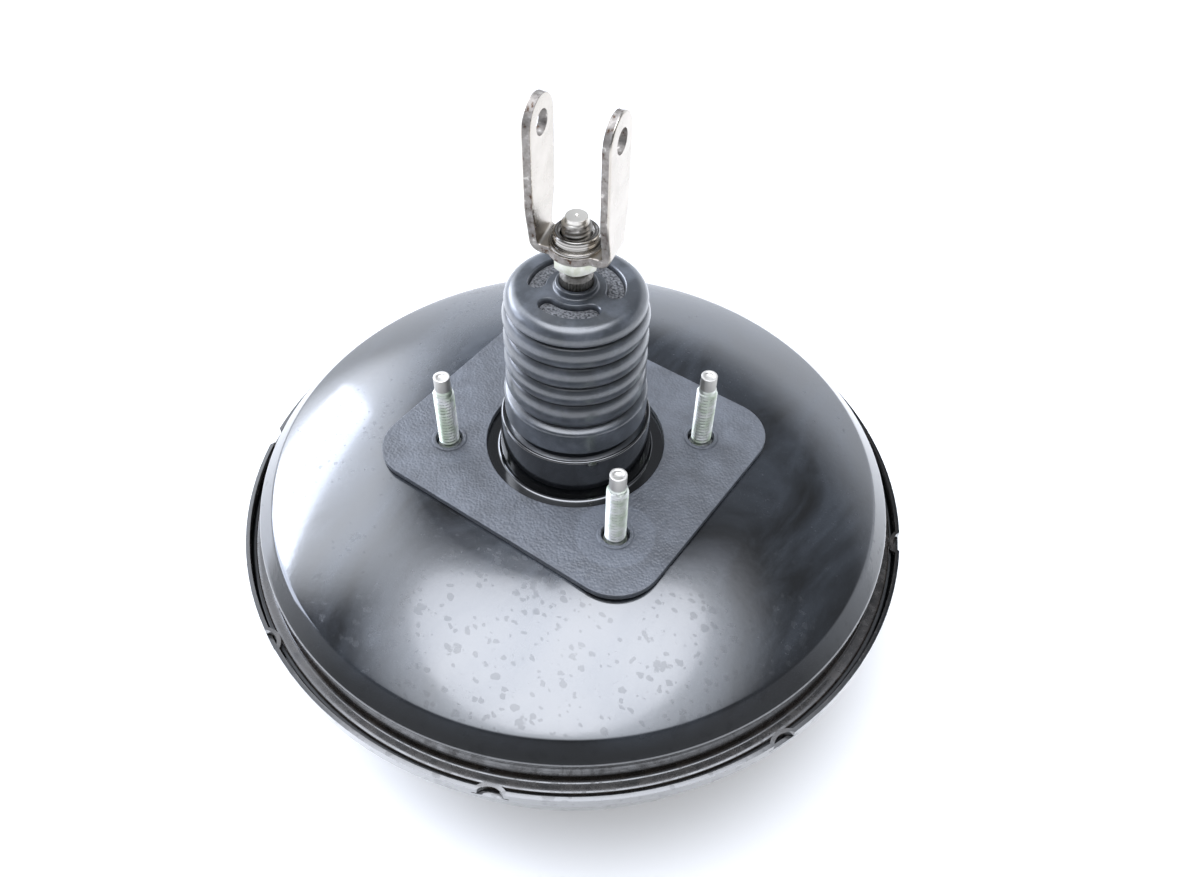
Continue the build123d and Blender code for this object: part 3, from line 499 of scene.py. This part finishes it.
def board_mesh(name, loops, low, high, edge):
    """A flat board between two heights from closed 2-D loops, its cut edges slightly rounded."""
    curve = bpy.data.curves.new(name, "CURVE")
    curve.dimensions = "2D"
    curve.fill_mode = "BOTH"
    curve.extrude = (high - low) / 2 - edge
    curve.bevel_depth = edge
    curve.offset = -edge
    curve.bevel_resolution = 2
    for loop in loops:
        spline = curve.splines.new("POLY")
        spline.points.add(len(loop) - 1)
        for point, (x, y) in zip(spline.points, loop):
            point.co = (x, y, 0, 1)
        spline.use_cyclic_u = True
    drawn = bpy.data.objects.new(name, curve)
    bpy.context.scene.collection.objects.link(drawn)
    mesh = bpy.data.meshes.new_from_object(drawn.evaluated_get(bpy.context.evaluated_depsgraph_get()))
    bpy.data.objects.remove(drawn)
    mesh.transform(Matrix.Translation((0, 0, (low + high) / 2)))
    mesh.transform(Matrix.Scale(MM, 4))
    return mesh


def arc(x, y, radius, first, last, count):
    """Points on an arc, angles in degrees."""
    angles = [math.radians(first + (last - first) * k / count) for k in range(count + 1)]
    return [(x + radius * math.cos(a), y + radius * math.sin(a)) for a in angles]


def joined(mesh, others):
    """One mesh holding all of these."""
    work = bmesh.new()
    for part in [mesh, *others]:
        work.from_mesh(part)
    work.to_mesh(mesh)
    work.free()
    return mesh


blank = []
for x, y, first in ((1, 1, 0), (-1, 1, 90), (-1, -1, 180), (1, -1, 270)):
    corner_x, corner_y = gasket_width / 2 - gasket_corner, gasket_depth / 2 - gasket_corner
    blank += arc(x * corner_x, y * corner_y, gasket_corner, first, first + 90, 24)
holes = [arc(0, 0, gasket_hole_radius, 0, 360, 160)[:-1]]
holes += [arc(x, y, stud_hole_radius, 0, 360, 48)[:-1] for x, y in stud_places]
gasket_top = plateau_level + gasket_thickness
board = board_mesh("firewall_gasket_board", [blank, *holes], plateau_level, gasket_top, cut_edge)
ring_section = rounded(
    [
        (stud_hole_radius, gasket_top - 0.3), (stud_hole_radius, gasket_top + ring_height),
        (ring_radius - 0.5, gasket_top + ring_height), (ring_radius, gasket_top - 0.05),
        (ring_radius, gasket_top - 0.3),
    ],
    [0.3, 0.4, 0.2],
    step=20.0,
)
rings = [turned_mesh("sealing ring", ring_section, 64, place=(x, y)) for x, y in stud_places]
gasket = add_piece("firewall_gasket_board", joined(board, rings), gasket_board, "housing", 30)
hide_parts("firewall_gasket")

# Studs. M8, pressed through plate and shell from inside, with rolled threads and a plain dog
# point that guides the nut. Zinc plated and yellow passivated; the tips are worn bright.

yellow_zinc, tree, shader = new_material("yellow passivated zinc plate", "#dcddd0", 0.35, Metallic=1.0)
where = add_node(tree, "ShaderNodeTexCoord").outputs["Object"]
place = add_node(tree, "ShaderNodeSeparateXYZ", {0: where})
iris_width, grime_width = 6.25, 1.43       # millimetres
iris = add_node(
    tree, "ShaderNodeTexNoise", {"Scale": 1000 / iris_width, "Detail": 2.0, "Vector": where},
)
tint = add_node(tree, "ShaderNodeValToRGB", {"Fac": iris.outputs["Fac"]})
set_stops(tint, (0.38, "#d3ddc9"), (0.64, "#fafaf7"))
bare_tip = remapped(place.outputs["Z"], 0.1288, 0.1294)
plated = add_node(
    tree, "ShaderNodeMix",
    {"data_type": "RGBA", 0: bare_tip, 6: tint.outputs["Color"], 7: linear("#d2cfc9")},
)
grime = add_node(
    tree, "ShaderNodeTexNoise", {"Scale": 1000 / grime_width, "Detail": 4.0, "Vector": where},
)
grime_rough = remapped(grime.outputs["Fac"], 0.0, 1.0, 0.4, 0.58)
tree.links.new(plated.outputs[2], shader.inputs["Base Color"])
tree.links.new(grime_rough, shader.inputs["Roughness"])


def mottled(name, low, high, roughness, size, bump=0.0, **more):
    """A finish that drifts between two colours over a size in millimetres, with a fine bump."""
    material, tree, shader = new_material(name, high, roughness, **more)
    where = add_node(tree, "ShaderNodeTexCoord").outputs["Object"]
    drift = add_node(
        tree, "ShaderNodeTexNoise", {"Scale": 1000 / size, "Detail": 5.0, "Vector": where},
    )
    tint = add_node(tree, "ShaderNodeValToRGB", {"Fac": drift.outputs["Fac"]})
    set_stops(tint, (0.36, low), (0.64, high))
    vary = remapped(drift.outputs["Fac"], 0.0, 1.0, roughness * 0.8, min(1.0, roughness * 1.25))
    skin = add_node(
        tree, "ShaderNodeBump",
        {"Strength": bump, "Distance": 0.0003, "Height": drift.outputs["Fac"]},
    )
    tree.links.new(tint.outputs["Color"], shader.inputs["Base Color"])
    tree.links.new(vary, shader.inputs["Roughness"])
    tree.links.new(skin.outputs["Normal"], shader.inputs["Normal"])
    return material


# Thread roots take this darker finish: partly oily grime, partly painted shade that deepens the
# thread's own shading.
root_grime_and_shade = mottled("oily grime and painted shade in thread roots", "#2a2825", "#57534c", 0.55, 1.5)
stud_pitch, stud_thread_depth = 1.6, 0.62      # M8 has 1.25 mm, drawn coarser so that it shows
stud_radius, stud_head_radius, stud_head_height = 4.0, 6.5, 2.5
dog_point_length, dog_point_radius = 6.0, 3.1


def thread_mesh(name, radius, pitch, depth, low, high, place=(0, 0), around=40):
    """A rolled thread as one strip wound up the bar, sunk into the bar at both ends."""
    profile = [(0.0, -depth), (0.19, -depth), (0.44, -0.05), (0.5, 0.0), (0.56, -0.05), (0.81, -depth)]
    turns = round((high - low) / pitch) - 1
    points, faces, in_root = [], [], []
    for step in range(turns * around + 1):
        angle = step * 2 * math.pi / around
        fade = min(1.0, 4 * step / around, 4 * (turns * around - step) / around)
        for share, rise in profile:
            r = radius - depth - 0.1 + (depth + 0.1 + rise) * fade
            z = low + pitch * (step / around + share)
            points.append((place[0] + r * math.cos(angle), place[1] + r * math.sin(angle), z))
    size = len(profile)
    for step in range(turns * around):
        for k in range(size):
            here, there = step * size + k, (step + 1) * size + k
            above, beyond = here + 1, there + 1
            if k == size - 1:
                above, beyond = (step + around) * size, (step + around + 1) * size
            if beyond < len(points):
                faces.append((here, there, beyond, above))
                in_root.append(k in (0, size - 1))
    mesh = bpy.data.meshes.new(name)
    mesh.from_pydata([Vector(p) * MM for p in points], [], faces)
    # Root faces take the second slot, which holds grime and painted shade.
    mesh.polygons.foreach_set("material_index", in_root)
    return mesh


def add_stud(name, x, y, seat, grip, reach, way):
    """A headed stud: its head beyond the seat, its thread towards the reach."""
    tip, shoulder = reach - way * dog_point_length, seat + way * grip
    head, core = seat - way * stud_head_height, stud_radius - stud_thread_depth
    outline = rounded(
        [
            (0, head), (stud_head_radius, head), (stud_head_radius, seat), (4.5, seat), (4.5, shoulder),
            (stud_radius, shoulder + way * 0.3), (stud_radius, shoulder + way * 0.9),
            (core, shoulder + way * 1.5), (core, tip - way * 0.7), (dog_point_radius, tip),
            (dog_point_radius, reach), (2.0, reach), (1.6, reach - way * 0.5), (0, reach - way * 0.9),
        ],
        [0.6, 0.2, 0.2, 0.2, 0.1, 0.2, 0.2, 0.2, 0.1, 0.2, 0.55, 0.2, 0.3],
        step=30.0,
    )
    low, high = sorted((shoulder + way * 0.9, tip - way * 0.4))
    thread = thread_mesh("thread", stud_radius, stud_pitch, stud_thread_depth, low, high, (x, y))
    bar = turned_mesh(name, outline, 48, None, False, (x, y))
    stud = add_piece(name, joined(bar, [thread]), yellow_zinc, "housing", 50)
    stud.data.materials.append(root_grime_and_shade)
    return stud


plate_level, stud_reach = 94.5, gasket_top + 34.0
for number, (x, y) in enumerate(stud_places, 1):
    stud = add_stud(f"firewall_stud_{number}_thread", x, y, plate_level, 4.0, stud_reach, 1)
    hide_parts(f"firewall_stud_{number}")
plate_level, stud_reach = 26.5, 2.0
for number, x in enumerate((-40, 40), 1):
    stud = add_stud(f"master_cylinder_stud_{number}_thread", x, 0, plate_level, 4.5, stud_reach, -1)
    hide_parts(f"master_cylinder_stud_{number}")

# Boot. One moulding of black rubber: a plain waist held in the neck, a collar that shuts on the
# neck's lip, four bellows, and a cap with three breather slots and a lip round the push rod. It has
# a satin skin, greyed by dust in patches. Shade is painted into the grooves: there, and wherever the
# boot lies this close to the axis below the cap, its colour goes towards black and its coat thins.

rubber, tree, shader = new_material(
    "moulded black rubber", "#3f4247", 0.4, IOR=1.55,
    Coat_Weight=0.95, Coat_Roughness=0.2, Coat_IOR=1.65,
)
where = add_node(tree, "ShaderNodeTexCoord").outputs["Object"]
bloom_width, mould_grain = 11.1, 0.714       # millimetres
bloom = add_node(
    tree, "ShaderNodeTexNoise",
    {"Scale": 1000 / bloom_width, "Detail": 6.0, "Roughness": 0.65, "Vector": where},
)
bloom_rough = remapped(bloom.outputs["Fac"], 0.3, 0.7, 0.28, 0.5)
dusted = add_node(tree, "ShaderNodeValToRGB", {"Fac": bloom.outputs["Fac"]})
set_stops(dusted, (0.45, "#363a3f"), (0.8, "#60656d"))
place = add_node(tree, "ShaderNodeSeparateXYZ", {0: where})
from_axis = axis_distance(tree, place)
# Painted shade: close to the axis below the cap, which takes in the grooves, the colour is mixed
# towards near black and the coat weight is lowered.
off_crest = remapped(from_axis, 0.0258, 0.0240)
below_cap = remapped(place.outputs["Z"], 0.1722, 0.1712, 0.0, 0.7)
groove_shade_mask = worked_out("MULTIPLY", off_crest, below_cap)
painted_groove_shade = add_node(
    tree, "ShaderNodeMix",
    {"data_type": "RGBA", 0: groove_shade_mask, 6: dusted.outputs["Color"], 7: linear("#0c0d0e")},
)
groove_shade_gloss = worked_out("MULTIPLY_ADD", groove_shade_mask, -0.6, 0.95)
mould = add_node(
    tree, "ShaderNodeTexNoise", {"Scale": 1000 / mould_grain, "Detail": 3.0, "Vector": where},
)
mould_skin = add_node(
    tree, "ShaderNodeBump", {"Strength": 0.12, "Distance": 0.0003, "Height": mould.outputs["Fac"]},
)
tree.links.new(painted_groove_shade.outputs[2], shader.inputs["Base Color"])
tree.links.new(groove_shade_gloss, shader.inputs["Coat Weight"])
tree.links.new(bloom_rough, shader.inputs["Roughness"])
tree.links.new(mould_skin.outputs["Normal"], shader.inputs["Normal"])

boot_wall, crest_radius, groove_radius = 2.0, 26.1, 23.7
groove_levels = (133.0, 144.0, 152.5, 162.0, 171.0)
collar_low, cap_top, cap_edge, lip_top, lip_bore = 121.5, 178.0, 25.1, 180.2, 6.1


def bellows(groove, crest, soften):
    """Half section of the bellows: arcs from groove to groove, each groove a tight soft valley."""
    line = []
    for low, high in zip(groove_levels, groove_levels[1:]):
        for k in range(17):
            share = k / 16
            bulge = math.sin(math.pi * share) ** soften
            line.append((groove + (crest - groove) * bulge, low + (high - low) * share))
    return line


boot_outside = rounded(
    [
        (22.7, 112.8), (26.9, 112.8), (26.9, 116.0), (24.6, 117.2), (24.6, collar_low),
        (27.0, collar_low), (27.0, 131.4), (groove_radius, groove_levels[0]),
    ],
    [0.6, 0.6, 0.5, 0.4, 0.5, 1.4],
    step=15.0,
)
boot_outside += bellows(groove_radius, crest_radius, 0.5)[1:-1]
boot_outside += rounded(
    [
        (groove_radius, groove_levels[-1]), (cap_edge, 172.3), (cap_edge, cap_top), (7.6, cap_top),
        (7.4, lip_top), (lip_bore, lip_top),
    ],
    [0.6, 4.6, 0.7, 0.55],
    step=10.0,
)
boot_inside = [(22.7, 123.5), (24.1, 124.5), (24.1, 130.0)]
boot_inside += bellows(groove_radius - boot_wall, crest_radius - boot_wall, 0.62)
boot_inside += [(20.4, 171.7), (20.4, cap_top - 3.0), (lip_bore, cap_top - 3.0)]
boot_section = filled_in(boot_outside, 0.9) + filled_in(boot_inside, 1.5)[::-1]


def kidney(mean_radius, width, start, span, count=24):
    """A closed kidney-shaped loop about the axis, angles in degrees."""
    half = width / 2
    loop = arc(0, 0, mean_radius + half, start, start + span, count)
    for angle, turn in ((start + span, 0), (start, 180)):
        a = math.radians(angle)
        x, y = mean_radius * math.cos(a), mean_radius * math.sin(a)
        loop += arc(x, y, half, angle + turn, angle + turn + 180, 12)[1:-1]
        if turn == 0:
            loop += arc(0, 0, mean_radius - half, start + span, start, count)
    return loop


def cut_with(mesh, cutters):
    """Cuts closed meshes out of a mesh for good."""
    piece = bpy.data.objects.new("being cut", mesh)
    bpy.context.scene.collection.objects.link(piece)
    tools = []
    for cutter in cutters:
        tool = bpy.data.objects.new("cutter", cutter)
        bpy.context.scene.collection.objects.link(tool)
        cut = piece.modifiers.new("cut", "BOOLEAN")
        cut.operation, cut.solver, cut.object = "DIFFERENCE", "EXACT", tool
        tools.append(tool)
    done = bpy.data.meshes.new_from_object(piece.evaluated_get(bpy.context.evaluated_depsgraph_get()))
    for used in [piece, *tools]:
        bpy.data.objects.remove(used)
    return done


def lofted(name, loops):
    """A closed mesh through stacked loops of equal length, in millimetres."""
    count = len(loops[0])
    points = [Vector(p) * MM for loop in loops for p in loop]
    faces = [list(range(count))[::-1], list(range(count * (len(loops) - 1), count * len(loops)))]
    for k in range(len(loops) - 1):
        for i in range(count):
            j = (i + 1) % count
            faces.append((k * count + i, k * count + j, (k + 1) * count + j, (k + 1) * count + i))
    mesh = bpy.data.meshes.new(name)
    mesh.from_pydata(points, [], faces)
    return mesh


slot_radius, slot_span, slot_starts = 13.75, 66, (-99.0, 21.0, 141.0)
slot_flare = (       # (height, width), flaring at the cap's face
    (173.0, 5.8), (176.9, 5.8), (177.3, 5.9), (177.6, 6.15), (177.85, 6.55), (178.1, 7.3),
)


def slot_forms(name, levels):
    """A lofted form in each of the three breather slots, from (height, width) pairs."""
    forms = []
    for start in slot_starts:
        loops = []
        for z, width in levels:
            loops.append([(x, y, z) for x, y in kidney(slot_radius, width, start, slot_span)])
        forms.append(lofted(name, loops))
    return forms


slot_cutters = slot_forms("breather slot", slot_flare)
boot_mesh = cut_with(turned_mesh("rubber_boot", boot_section, 192), slot_cutters)
boot_mesh.materials.append(rubber)
boot = linked("rubber_boot", boot_mesh, 32)
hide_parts("boot")
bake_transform(boot)

# Push rod. Turned steel bar with a ball inside the plunger, a knurl to hold it by while the lock
# nut is set, and an M10 thread. Dark phosphate, oiled; the end is faced bright with a centre dimple.

phosphate, tree, shader = new_material("oiled phosphate steel", "#6b6863", 0.42, Metallic=1.0)
where = add_node(tree, "ShaderNodeTexCoord").outputs["Object"]
place = add_node(tree, "ShaderNodeSeparateXYZ", {0: where})
faced = remapped(place.outputs["Z"], 0.2042, 0.2050)
crystal_width = 1.11       # millimetres, drawn coarser than the coating's real grain so that it shows
mottle = add_node(
    tree, "ShaderNodeTexNoise", {"Scale": 1000 / crystal_width, "Detail": 3.0, "Vector": where},
)
phosphate_tint = add_node(tree, "ShaderNodeValToRGB", {"Fac": mottle.outputs["Fac"]})
set_stops(phosphate_tint, (0.0, "#55524e"), (1.0, "#b3afa8"))
rod_colour = add_node(
    tree, "ShaderNodeMix",
    {"data_type": "RGBA", 0: faced, 6: phosphate_tint.outputs["Color"], 7: linear("#dcd8cf")},
)
tree.links.new(rod_colour.outputs[2], shader.inputs["Base Color"])

knurl_low, knurl_high, knurl_teeth, knurl_depth, knurl_radius = 171.0, 183.1, 34, 0.5, 5.9
rod_radius, rod_pitch, rod_thread_depth = 5.0, 1.75, 0.8      # M10 has 1.5 mm, drawn coarser
ball_radius, ball_low, thread_low, rod_end = 5.58, 100.42, 184.9, 206.7
rod_core = rod_radius - rod_thread_depth
rod_outline = rounded(
    [
        (0, ball_low), (ball_radius, ball_low), (ball_radius, 108.8), (3.6, 109.4), (3.6, 120.0),
        (rod_radius, 122.4), (rod_radius, 170.2), (knurl_radius, knurl_low), (knurl_radius, knurl_high),
        (rod_radius, thread_low), (rod_core, 185.3), (rod_core, 204.9), (3.9, 205.4), (3.8, rod_end),
        (0.8, rod_end), (0, rod_end - 0.5),
    ],
    [5.57, 2.2, 0.2, 0.5, 0.5, 0.3, 0.2, 0.3, 0.4, 0.1, 0.1, 0.3, 0.2, 0.25, 0.3],
    step=12.0,
)


def knurled(angles, radii, levels):
    """Straight knurling, run out at both ends."""
    into = np.clip((levels - knurl_low) / 0.6, 0, 1) * np.clip((knurl_high + 0.3 - levels) / 0.5, 0, 1)
    teeth = np.abs((angles * knurl_teeth / (2 * math.pi)) % 1.0 - 0.5) * 2
    return radii - (radii > rod_radius + 0.05) * knurl_depth * teeth * into, levels


rod_bar = turned_mesh("push_rod_bar", filled_in(rod_outline, 0.3), 6 * knurl_teeth, knurled, False)
rod_thread = thread_mesh(
    "thread", rod_radius, rod_pitch, rod_thread_depth, thread_low, rod_end - 0.8, around=64,
)
rod_mesh = joined(rod_bar, [rod_thread])
push_rod = add_piece("push_rod_bar", rod_mesh, phosphate, "push_rod", 50)
# Its thread roots also take the grime and painted shade.
push_rod.data.materials.append(root_grime_and_shade)
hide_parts("input_rod")

# Clevis. A fork bent from one strip of 3 mm steel, blanked with rounded ends. Its faces keep the
# bright zinc; the sheared edges are rough and brown where the punch tore them.

zinc_plate, tree, shader = new_material("bright zinc plated steel", "#cdc6bb", 0.3, Metallic=1.0)
where = add_node(tree, "ShaderNodeTexCoord").outputs["Object"]
spangle_width, tear_width = 11.1, 3.03       # millimetres
spangle = add_node(
    tree, "ShaderNodeTexNoise",
    {"Scale": 1000 / spangle_width, "Detail": 5.0, "Roughness": 0.5, "Vector": where},
)
zinc_tint = add_node(tree, "ShaderNodeValToRGB", {"Fac": spangle.outputs["Fac"]})
set_stops(zinc_tint, (0.34, "#b3aca1"), (0.66, "#c9c2b8"))
zinc_rough = remapped(spangle.outputs["Fac"], 0.3, 0.7, 0.22, 0.34)
tree.links.new(zinc_tint.outputs["Color"], shader.inputs["Base Color"])
tree.links.new(zinc_rough, shader.inputs["Roughness"])

sheared, tree, shader = new_material("sheared steel edge", "#6a6058", 0.55, Metallic=1.0)
where = add_node(tree, "ShaderNodeTexCoord").outputs["Object"]
tear = add_node(
    tree, "ShaderNodeTexNoise",
    {"Scale": 1000 / tear_width, "Detail": 7.0, "Roughness": 0.62, "Vector": where},
)
tear_tint = add_node(tree, "ShaderNodeValToRGB", {"Fac": tear.outputs["Fac"]})
set_stops(tear_tint, (0.36, "#5b493d"), (0.42, "#8b857f"), (0.6, "#a5a09a"), (0.68, "#e2ddd6"))
torn = add_node(
    tree, "ShaderNodeBump", {"Strength": 0.6, "Distance": 0.0004, "Height": tear.outputs["Fac"]},
)
tree.links.new(tear_tint.outputs["Color"], shader.inputs["Base Color"])
tree.links.new(torn.outputs["Normal"], shader.inputs["Normal"])

clevis_turn = math.radians(13.0)
strip_gauge, half_fork, fork_low, outer_bend = 3.0, 14.5, 193.2, 4.4
foot_width, leg_width, base_width, slant_height, pin_level = 13.0, 18.0, 19.4, 14.0, 236.8
flat_end = half_fork - outer_bend
middle_bend = outer_bend - strip_gauge / 2
bend_end = flat_end + middle_bend * math.pi / 2
slant_end = bend_end + slant_height
pin_at = slant_end + pin_level - (fork_low + outer_bend + slant_height)


def strip_stations():
    """Places along half of the flat strip, close together where its outline turns, then angles round
    its end: (kind, value)."""
    base = [flat_end * k / 40 for k in range(40)]
    bend = [flat_end + (bend_end - flat_end) * k / 10 for k in range(10)]
    leg = list(np.arange(bend_end, pin_at, 0.45))
    return [("run", s) for s in base + bend + leg] + [("end", 90.0 * k / 24) for k in range(25)]


def outline_point(kind, value, inset):
    """Place along the strip and half width there, for the outline set in by an amount."""
    if kind == "end":
        a, radius = math.radians(value), leg_width / 2 - inset
        return pin_at + radius * math.sin(a), radius * math.cos(a)
    disc = base_width / 2 - inset
    round_base = math.sqrt(max(0.0, disc ** 2 - value ** 2))
    slant = min(1.0, max(0.0, (value - bend_end) / slant_height))
    slant = slant * slant * (3 - 2 * slant) * 0.35 + slant * 0.65
    straight = (foot_width + (leg_width - foot_width) * slant) / 2 - inset
    return value, max(round_base if value < flat_end else 0.0, straight)


def on_fork(along, across, out):
    """From the flat strip to the bent fork; out is towards the outside of the bend."""
    side, s = (1, along) if along >= 0 else (-1, -along)
    if s <= flat_end:
        x, z = s, fork_low + strip_gauge / 2 - out
    elif s <= bend_end:
        a = (s - flat_end) / middle_bend
        x = flat_end + (middle_bend + out) * math.sin(a)
        z = fork_low + outer_bend - (middle_bend + out) * math.cos(a)
    else:
        x, z = half_fork - strip_gauge / 2 + out, fork_low + outer_bend + s - bend_end
    return Vector((side * x, across, z))


edge_roll, edge_burr = 0.55, 0.2
half_gauge = strip_gauge / 2
layers = [       # (inset of the outline, height in the gauge); rolled over outside, torn inside
    (edge_roll, half_gauge), (edge_roll * 0.5, half_gauge - edge_roll * 0.13),
    (edge_roll * 0.15, half_gauge - edge_roll * 0.45), (0.0, half_gauge - edge_roll),
    (0.0, 0.5), (0.12, 0.2), (0.16, -0.3), (0.18, -0.8), (0.14, -half_gauge + 0.35),
    (0.1, -half_gauge + 0.1), (edge_burr + 0.1, -half_gauge),
]
half = strip_stations()
stations = [(kind, value, -1) for kind, value in half[:0:-1]]
stations += [(kind, value, 1) for kind, value in half]
face_columns, torn_layers = 14, range(4, 10)
section_size = 2 * (len(layers) + face_columns)
tearing = np.random.default_rng(7)
points, faces, edge_faces = [], [], set()
for kind, value, side in stations:
    ring_points = []
    for flank in (1, -1):
        tear_here = tearing.uniform(0.0, 0.13, len(layers))
        row = []
        for number, (inset, out) in enumerate(layers):
            torn_inset = inset + (tear_here[number] if number in torn_layers else 0.0)
            along, across = outline_point(kind, value, torn_inset)
            row.append(on_fork(side * along, flank * max(across, 0.0), out))
        ring_points.append(row)
    right, left = ring_points
    face_in = [right[-1].lerp(left[-1], k / (face_columns + 1)) for k in range(1, face_columns + 1)]
    face_out = [left[0].lerp(right[0], k / (face_columns + 1)) for k in range(1, face_columns + 1)]
    points += right + face_in + left[::-1] + face_out
for row in range(len(stations) - 1):
    for k in range(section_size):
        n = (k + 1) % section_size
        in_right = 3 <= k < len(layers) - 1
        in_left = len(layers) + face_columns <= k < section_size - face_columns - 4
        if in_right or in_left:
            edge_faces.add(len(faces))
        faces.append((
            row * section_size + k, row * section_size + n,
            (row + 1) * section_size + n, (row + 1) * section_size + k,
        ))
strip = bpy.data.meshes.new("clevis_fork_strip")
strip.from_pydata([p * MM for p in points], [], faces)
strip.materials.append(zinc_plate)
strip.materials.append(sheared)
for number in edge_faces:
    strip.polygons[number].material_index = 1
work = bmesh.new()
work.from_mesh(strip)
bmesh.ops.remove_doubles(work, verts=work.verts, dist=2e-6)
bmesh.ops.recalc_face_normals(work, faces=work.faces)
work.to_mesh(strip)
work.free()
pin_hole_radius, rod_hole_radius = 4.1, 5.02
pin_circle = arc(0, pin_level, pin_hole_radius, 0, 360, 64)[:-1]
pin_loops = [[(x, y, z) for y, z in pin_circle] for x in (-16, 16)]
rod_circle = arc(0, 0, rod_hole_radius, 0, 360, 48)[:-1]
hole_loops = [[(x, y, z) for x, y in rod_circle] for z in (192, 198)]
cutters = [lofted("pin hole", pin_loops), lofted("rod hole", hole_loops)]
for cutter in cutters:
    cutter.materials.append(sheared)
strip = cut_with(strip, cutters)
strip.transform(Matrix.Rotation(clevis_turn, 4, "Z"))
clevis = linked("clevis_fork_strip", strip, 40)
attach(clevis, "push_rod")
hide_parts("clevis")

# Clevis boss. A turned collar welded inside the fork, with the lathe's rings left in its top.

boss_bore, boss_top = 5.04, 201.2
boss_outline = rounded(
    [
        (boss_bore, 196.3), (8.9, 196.2), (9.2, 196.5), (9.2, 197.3), (8.6, 197.5), (8.35, 197.1),
        (7.95, 197.1), (7.8, 197.6), (7.8, boss_top - 0.5), (7.3, boss_top), (6.8, boss_top),
        (6.6, 200.95), (6.1, 200.95), (5.9, 201.0), (boss_bore, 200.2),
    ],
    [0.1, 0.2, 0.3, 0.2, 0.2, 0.3, 0.3, 0.3, 0.15, 0.1, 0.1, 0.1, 0.15],
    step=20.0,
)
turned_steel, tree, shader = new_material("turned zinc plated steel", "#98948e", 0.22, Metallic=1.0)
where = add_node(tree, "ShaderNodeTexCoord").outputs["Object"]
place = add_node(tree, "ShaderNodeSeparateXYZ", {0: where})
from_axis = axis_distance(tree, place)
ring_place = add_node(tree, "ShaderNodeCombineXYZ", {"X": from_axis, "Y": place.outputs["Z"]})
feed_pitch = 0.35          # millimetres, drawn coarser than a lathe's 0.15 so that it shows
feed = add_node(
    tree, "ShaderNodeTexNoise",
    {"Scale": 1000 / feed_pitch, "Detail": 1.0, "Vector": ring_place.outputs[0]},
)
feed_tint = add_node(tree, "ShaderNodeValToRGB", {"Fac": feed.outputs["Fac"]})
set_stops(feed_tint, (0.35, "#6e6a65"), (0.65, "#aeaaa3"))
feed_marks = add_node(
    tree, "ShaderNodeBump", {"Strength": 0.3, "Distance": 0.0002, "Height": feed.outputs["Fac"]},
)
tree.links.new(feed_tint.outputs["Color"], shader.inputs["Base Color"])
tree.links.new(feed_marks.outputs["Normal"], shader.inputs["Normal"])
boss_mesh = turned_mesh("clevis_boss_turning", boss_outline, 128)
boss = add_piece("clevis_boss_turning", boss_mesh, turned_steel, "push_rod", 30)
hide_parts("clevis_boss")


# The rest keeps the CAD's own meshes, each in the finish of its real part: zinc plated pressings and
# turnings, oiled springs, moulded rubber, phenolic, acetal and nylon, and in the tail of the piston
# a felt ring and a foam ring. The felt swells a little into the breather slots.

# Passivated nut, pale greenish cream.
dress(mottled("pale passivated zinc", "#e0e1cd", "#f6f5ea", 0.36, 2.6, Metallic=1.0), "lock_nut")
# Grey felt, fluffed at the surface: bright and dark fibres a fraction of a millimetre across.
felt = mottled("grey needled felt", "#17181a", "#7c7d7f", 0.95, 0.9, 0.9, Sheen_Weight=0.3)
dress(felt, "air_filter")
swells = slot_forms("felt in a slot", ((173.5, 5.6), (175.6, 5.6), (176.1, 5.1), (176.3, 4.0)))
swollen = add_piece("air_filter_swell", joined(swells[0], swells[1:]), felt, "power_piston", 60)
dress(mottled("grey filter foam", "#3a3b3d", "#5c5d60", 0.95, 1.1, 0.8), "silencer")
zinc = mottled("cut zinc plate", "#a8a6a2", "#c8c6c1", 0.35, 2.0, Metallic=1.0)
dress(zinc, "seal_retainer", "rear_reinforcement_plate", "front_reinforcement_plate")
dress(zinc, "front_seal_retainer", "diaphragm_plate", "diaphragm_retainer", "output_rod_retainer")
dress(zinc, "poppet_retainer", "rod_spring_seat", "stop_key", "output_rod", "output_rod_adjuster")
dress(zinc, "valve_plunger")
spring_steel = mottled("oiled spring steel", "#3c3b3a", "#6f6d6a", 0.35, 1.2, 0.1, Metallic=1.0)
dress(spring_steel, "return_spring", "rod_return_spring", "poppet_spring", "check_valve_spring")
seal_rubber = mottled("black seal rubber", "#151516", "#232425", 0.5, 2.5, 0.15)
dress(seal_rubber, "diaphragm", "neck_seal", "front_seal", "poppet", "reaction_disc")
dress(seal_rubber, "check_valve_grommet")
dress(mottled("check valve rubber", "#151516", "#232425", 0.5, 2.5, 0.15), "check_valve_disc")
dress(mottled("moulded phenolic", "#151413", "#2b2723", 0.42, 1.4, 0.1), "valve_body")
dress(mottled("white acetal", "#dcdad2", "#ecebe5", 0.4, 6.0), "neck_bearing")
dress(mottled("black glass-filled nylon", "#131314", "#232426", 0.45, 1.2, 0.2), "check_valve_body")
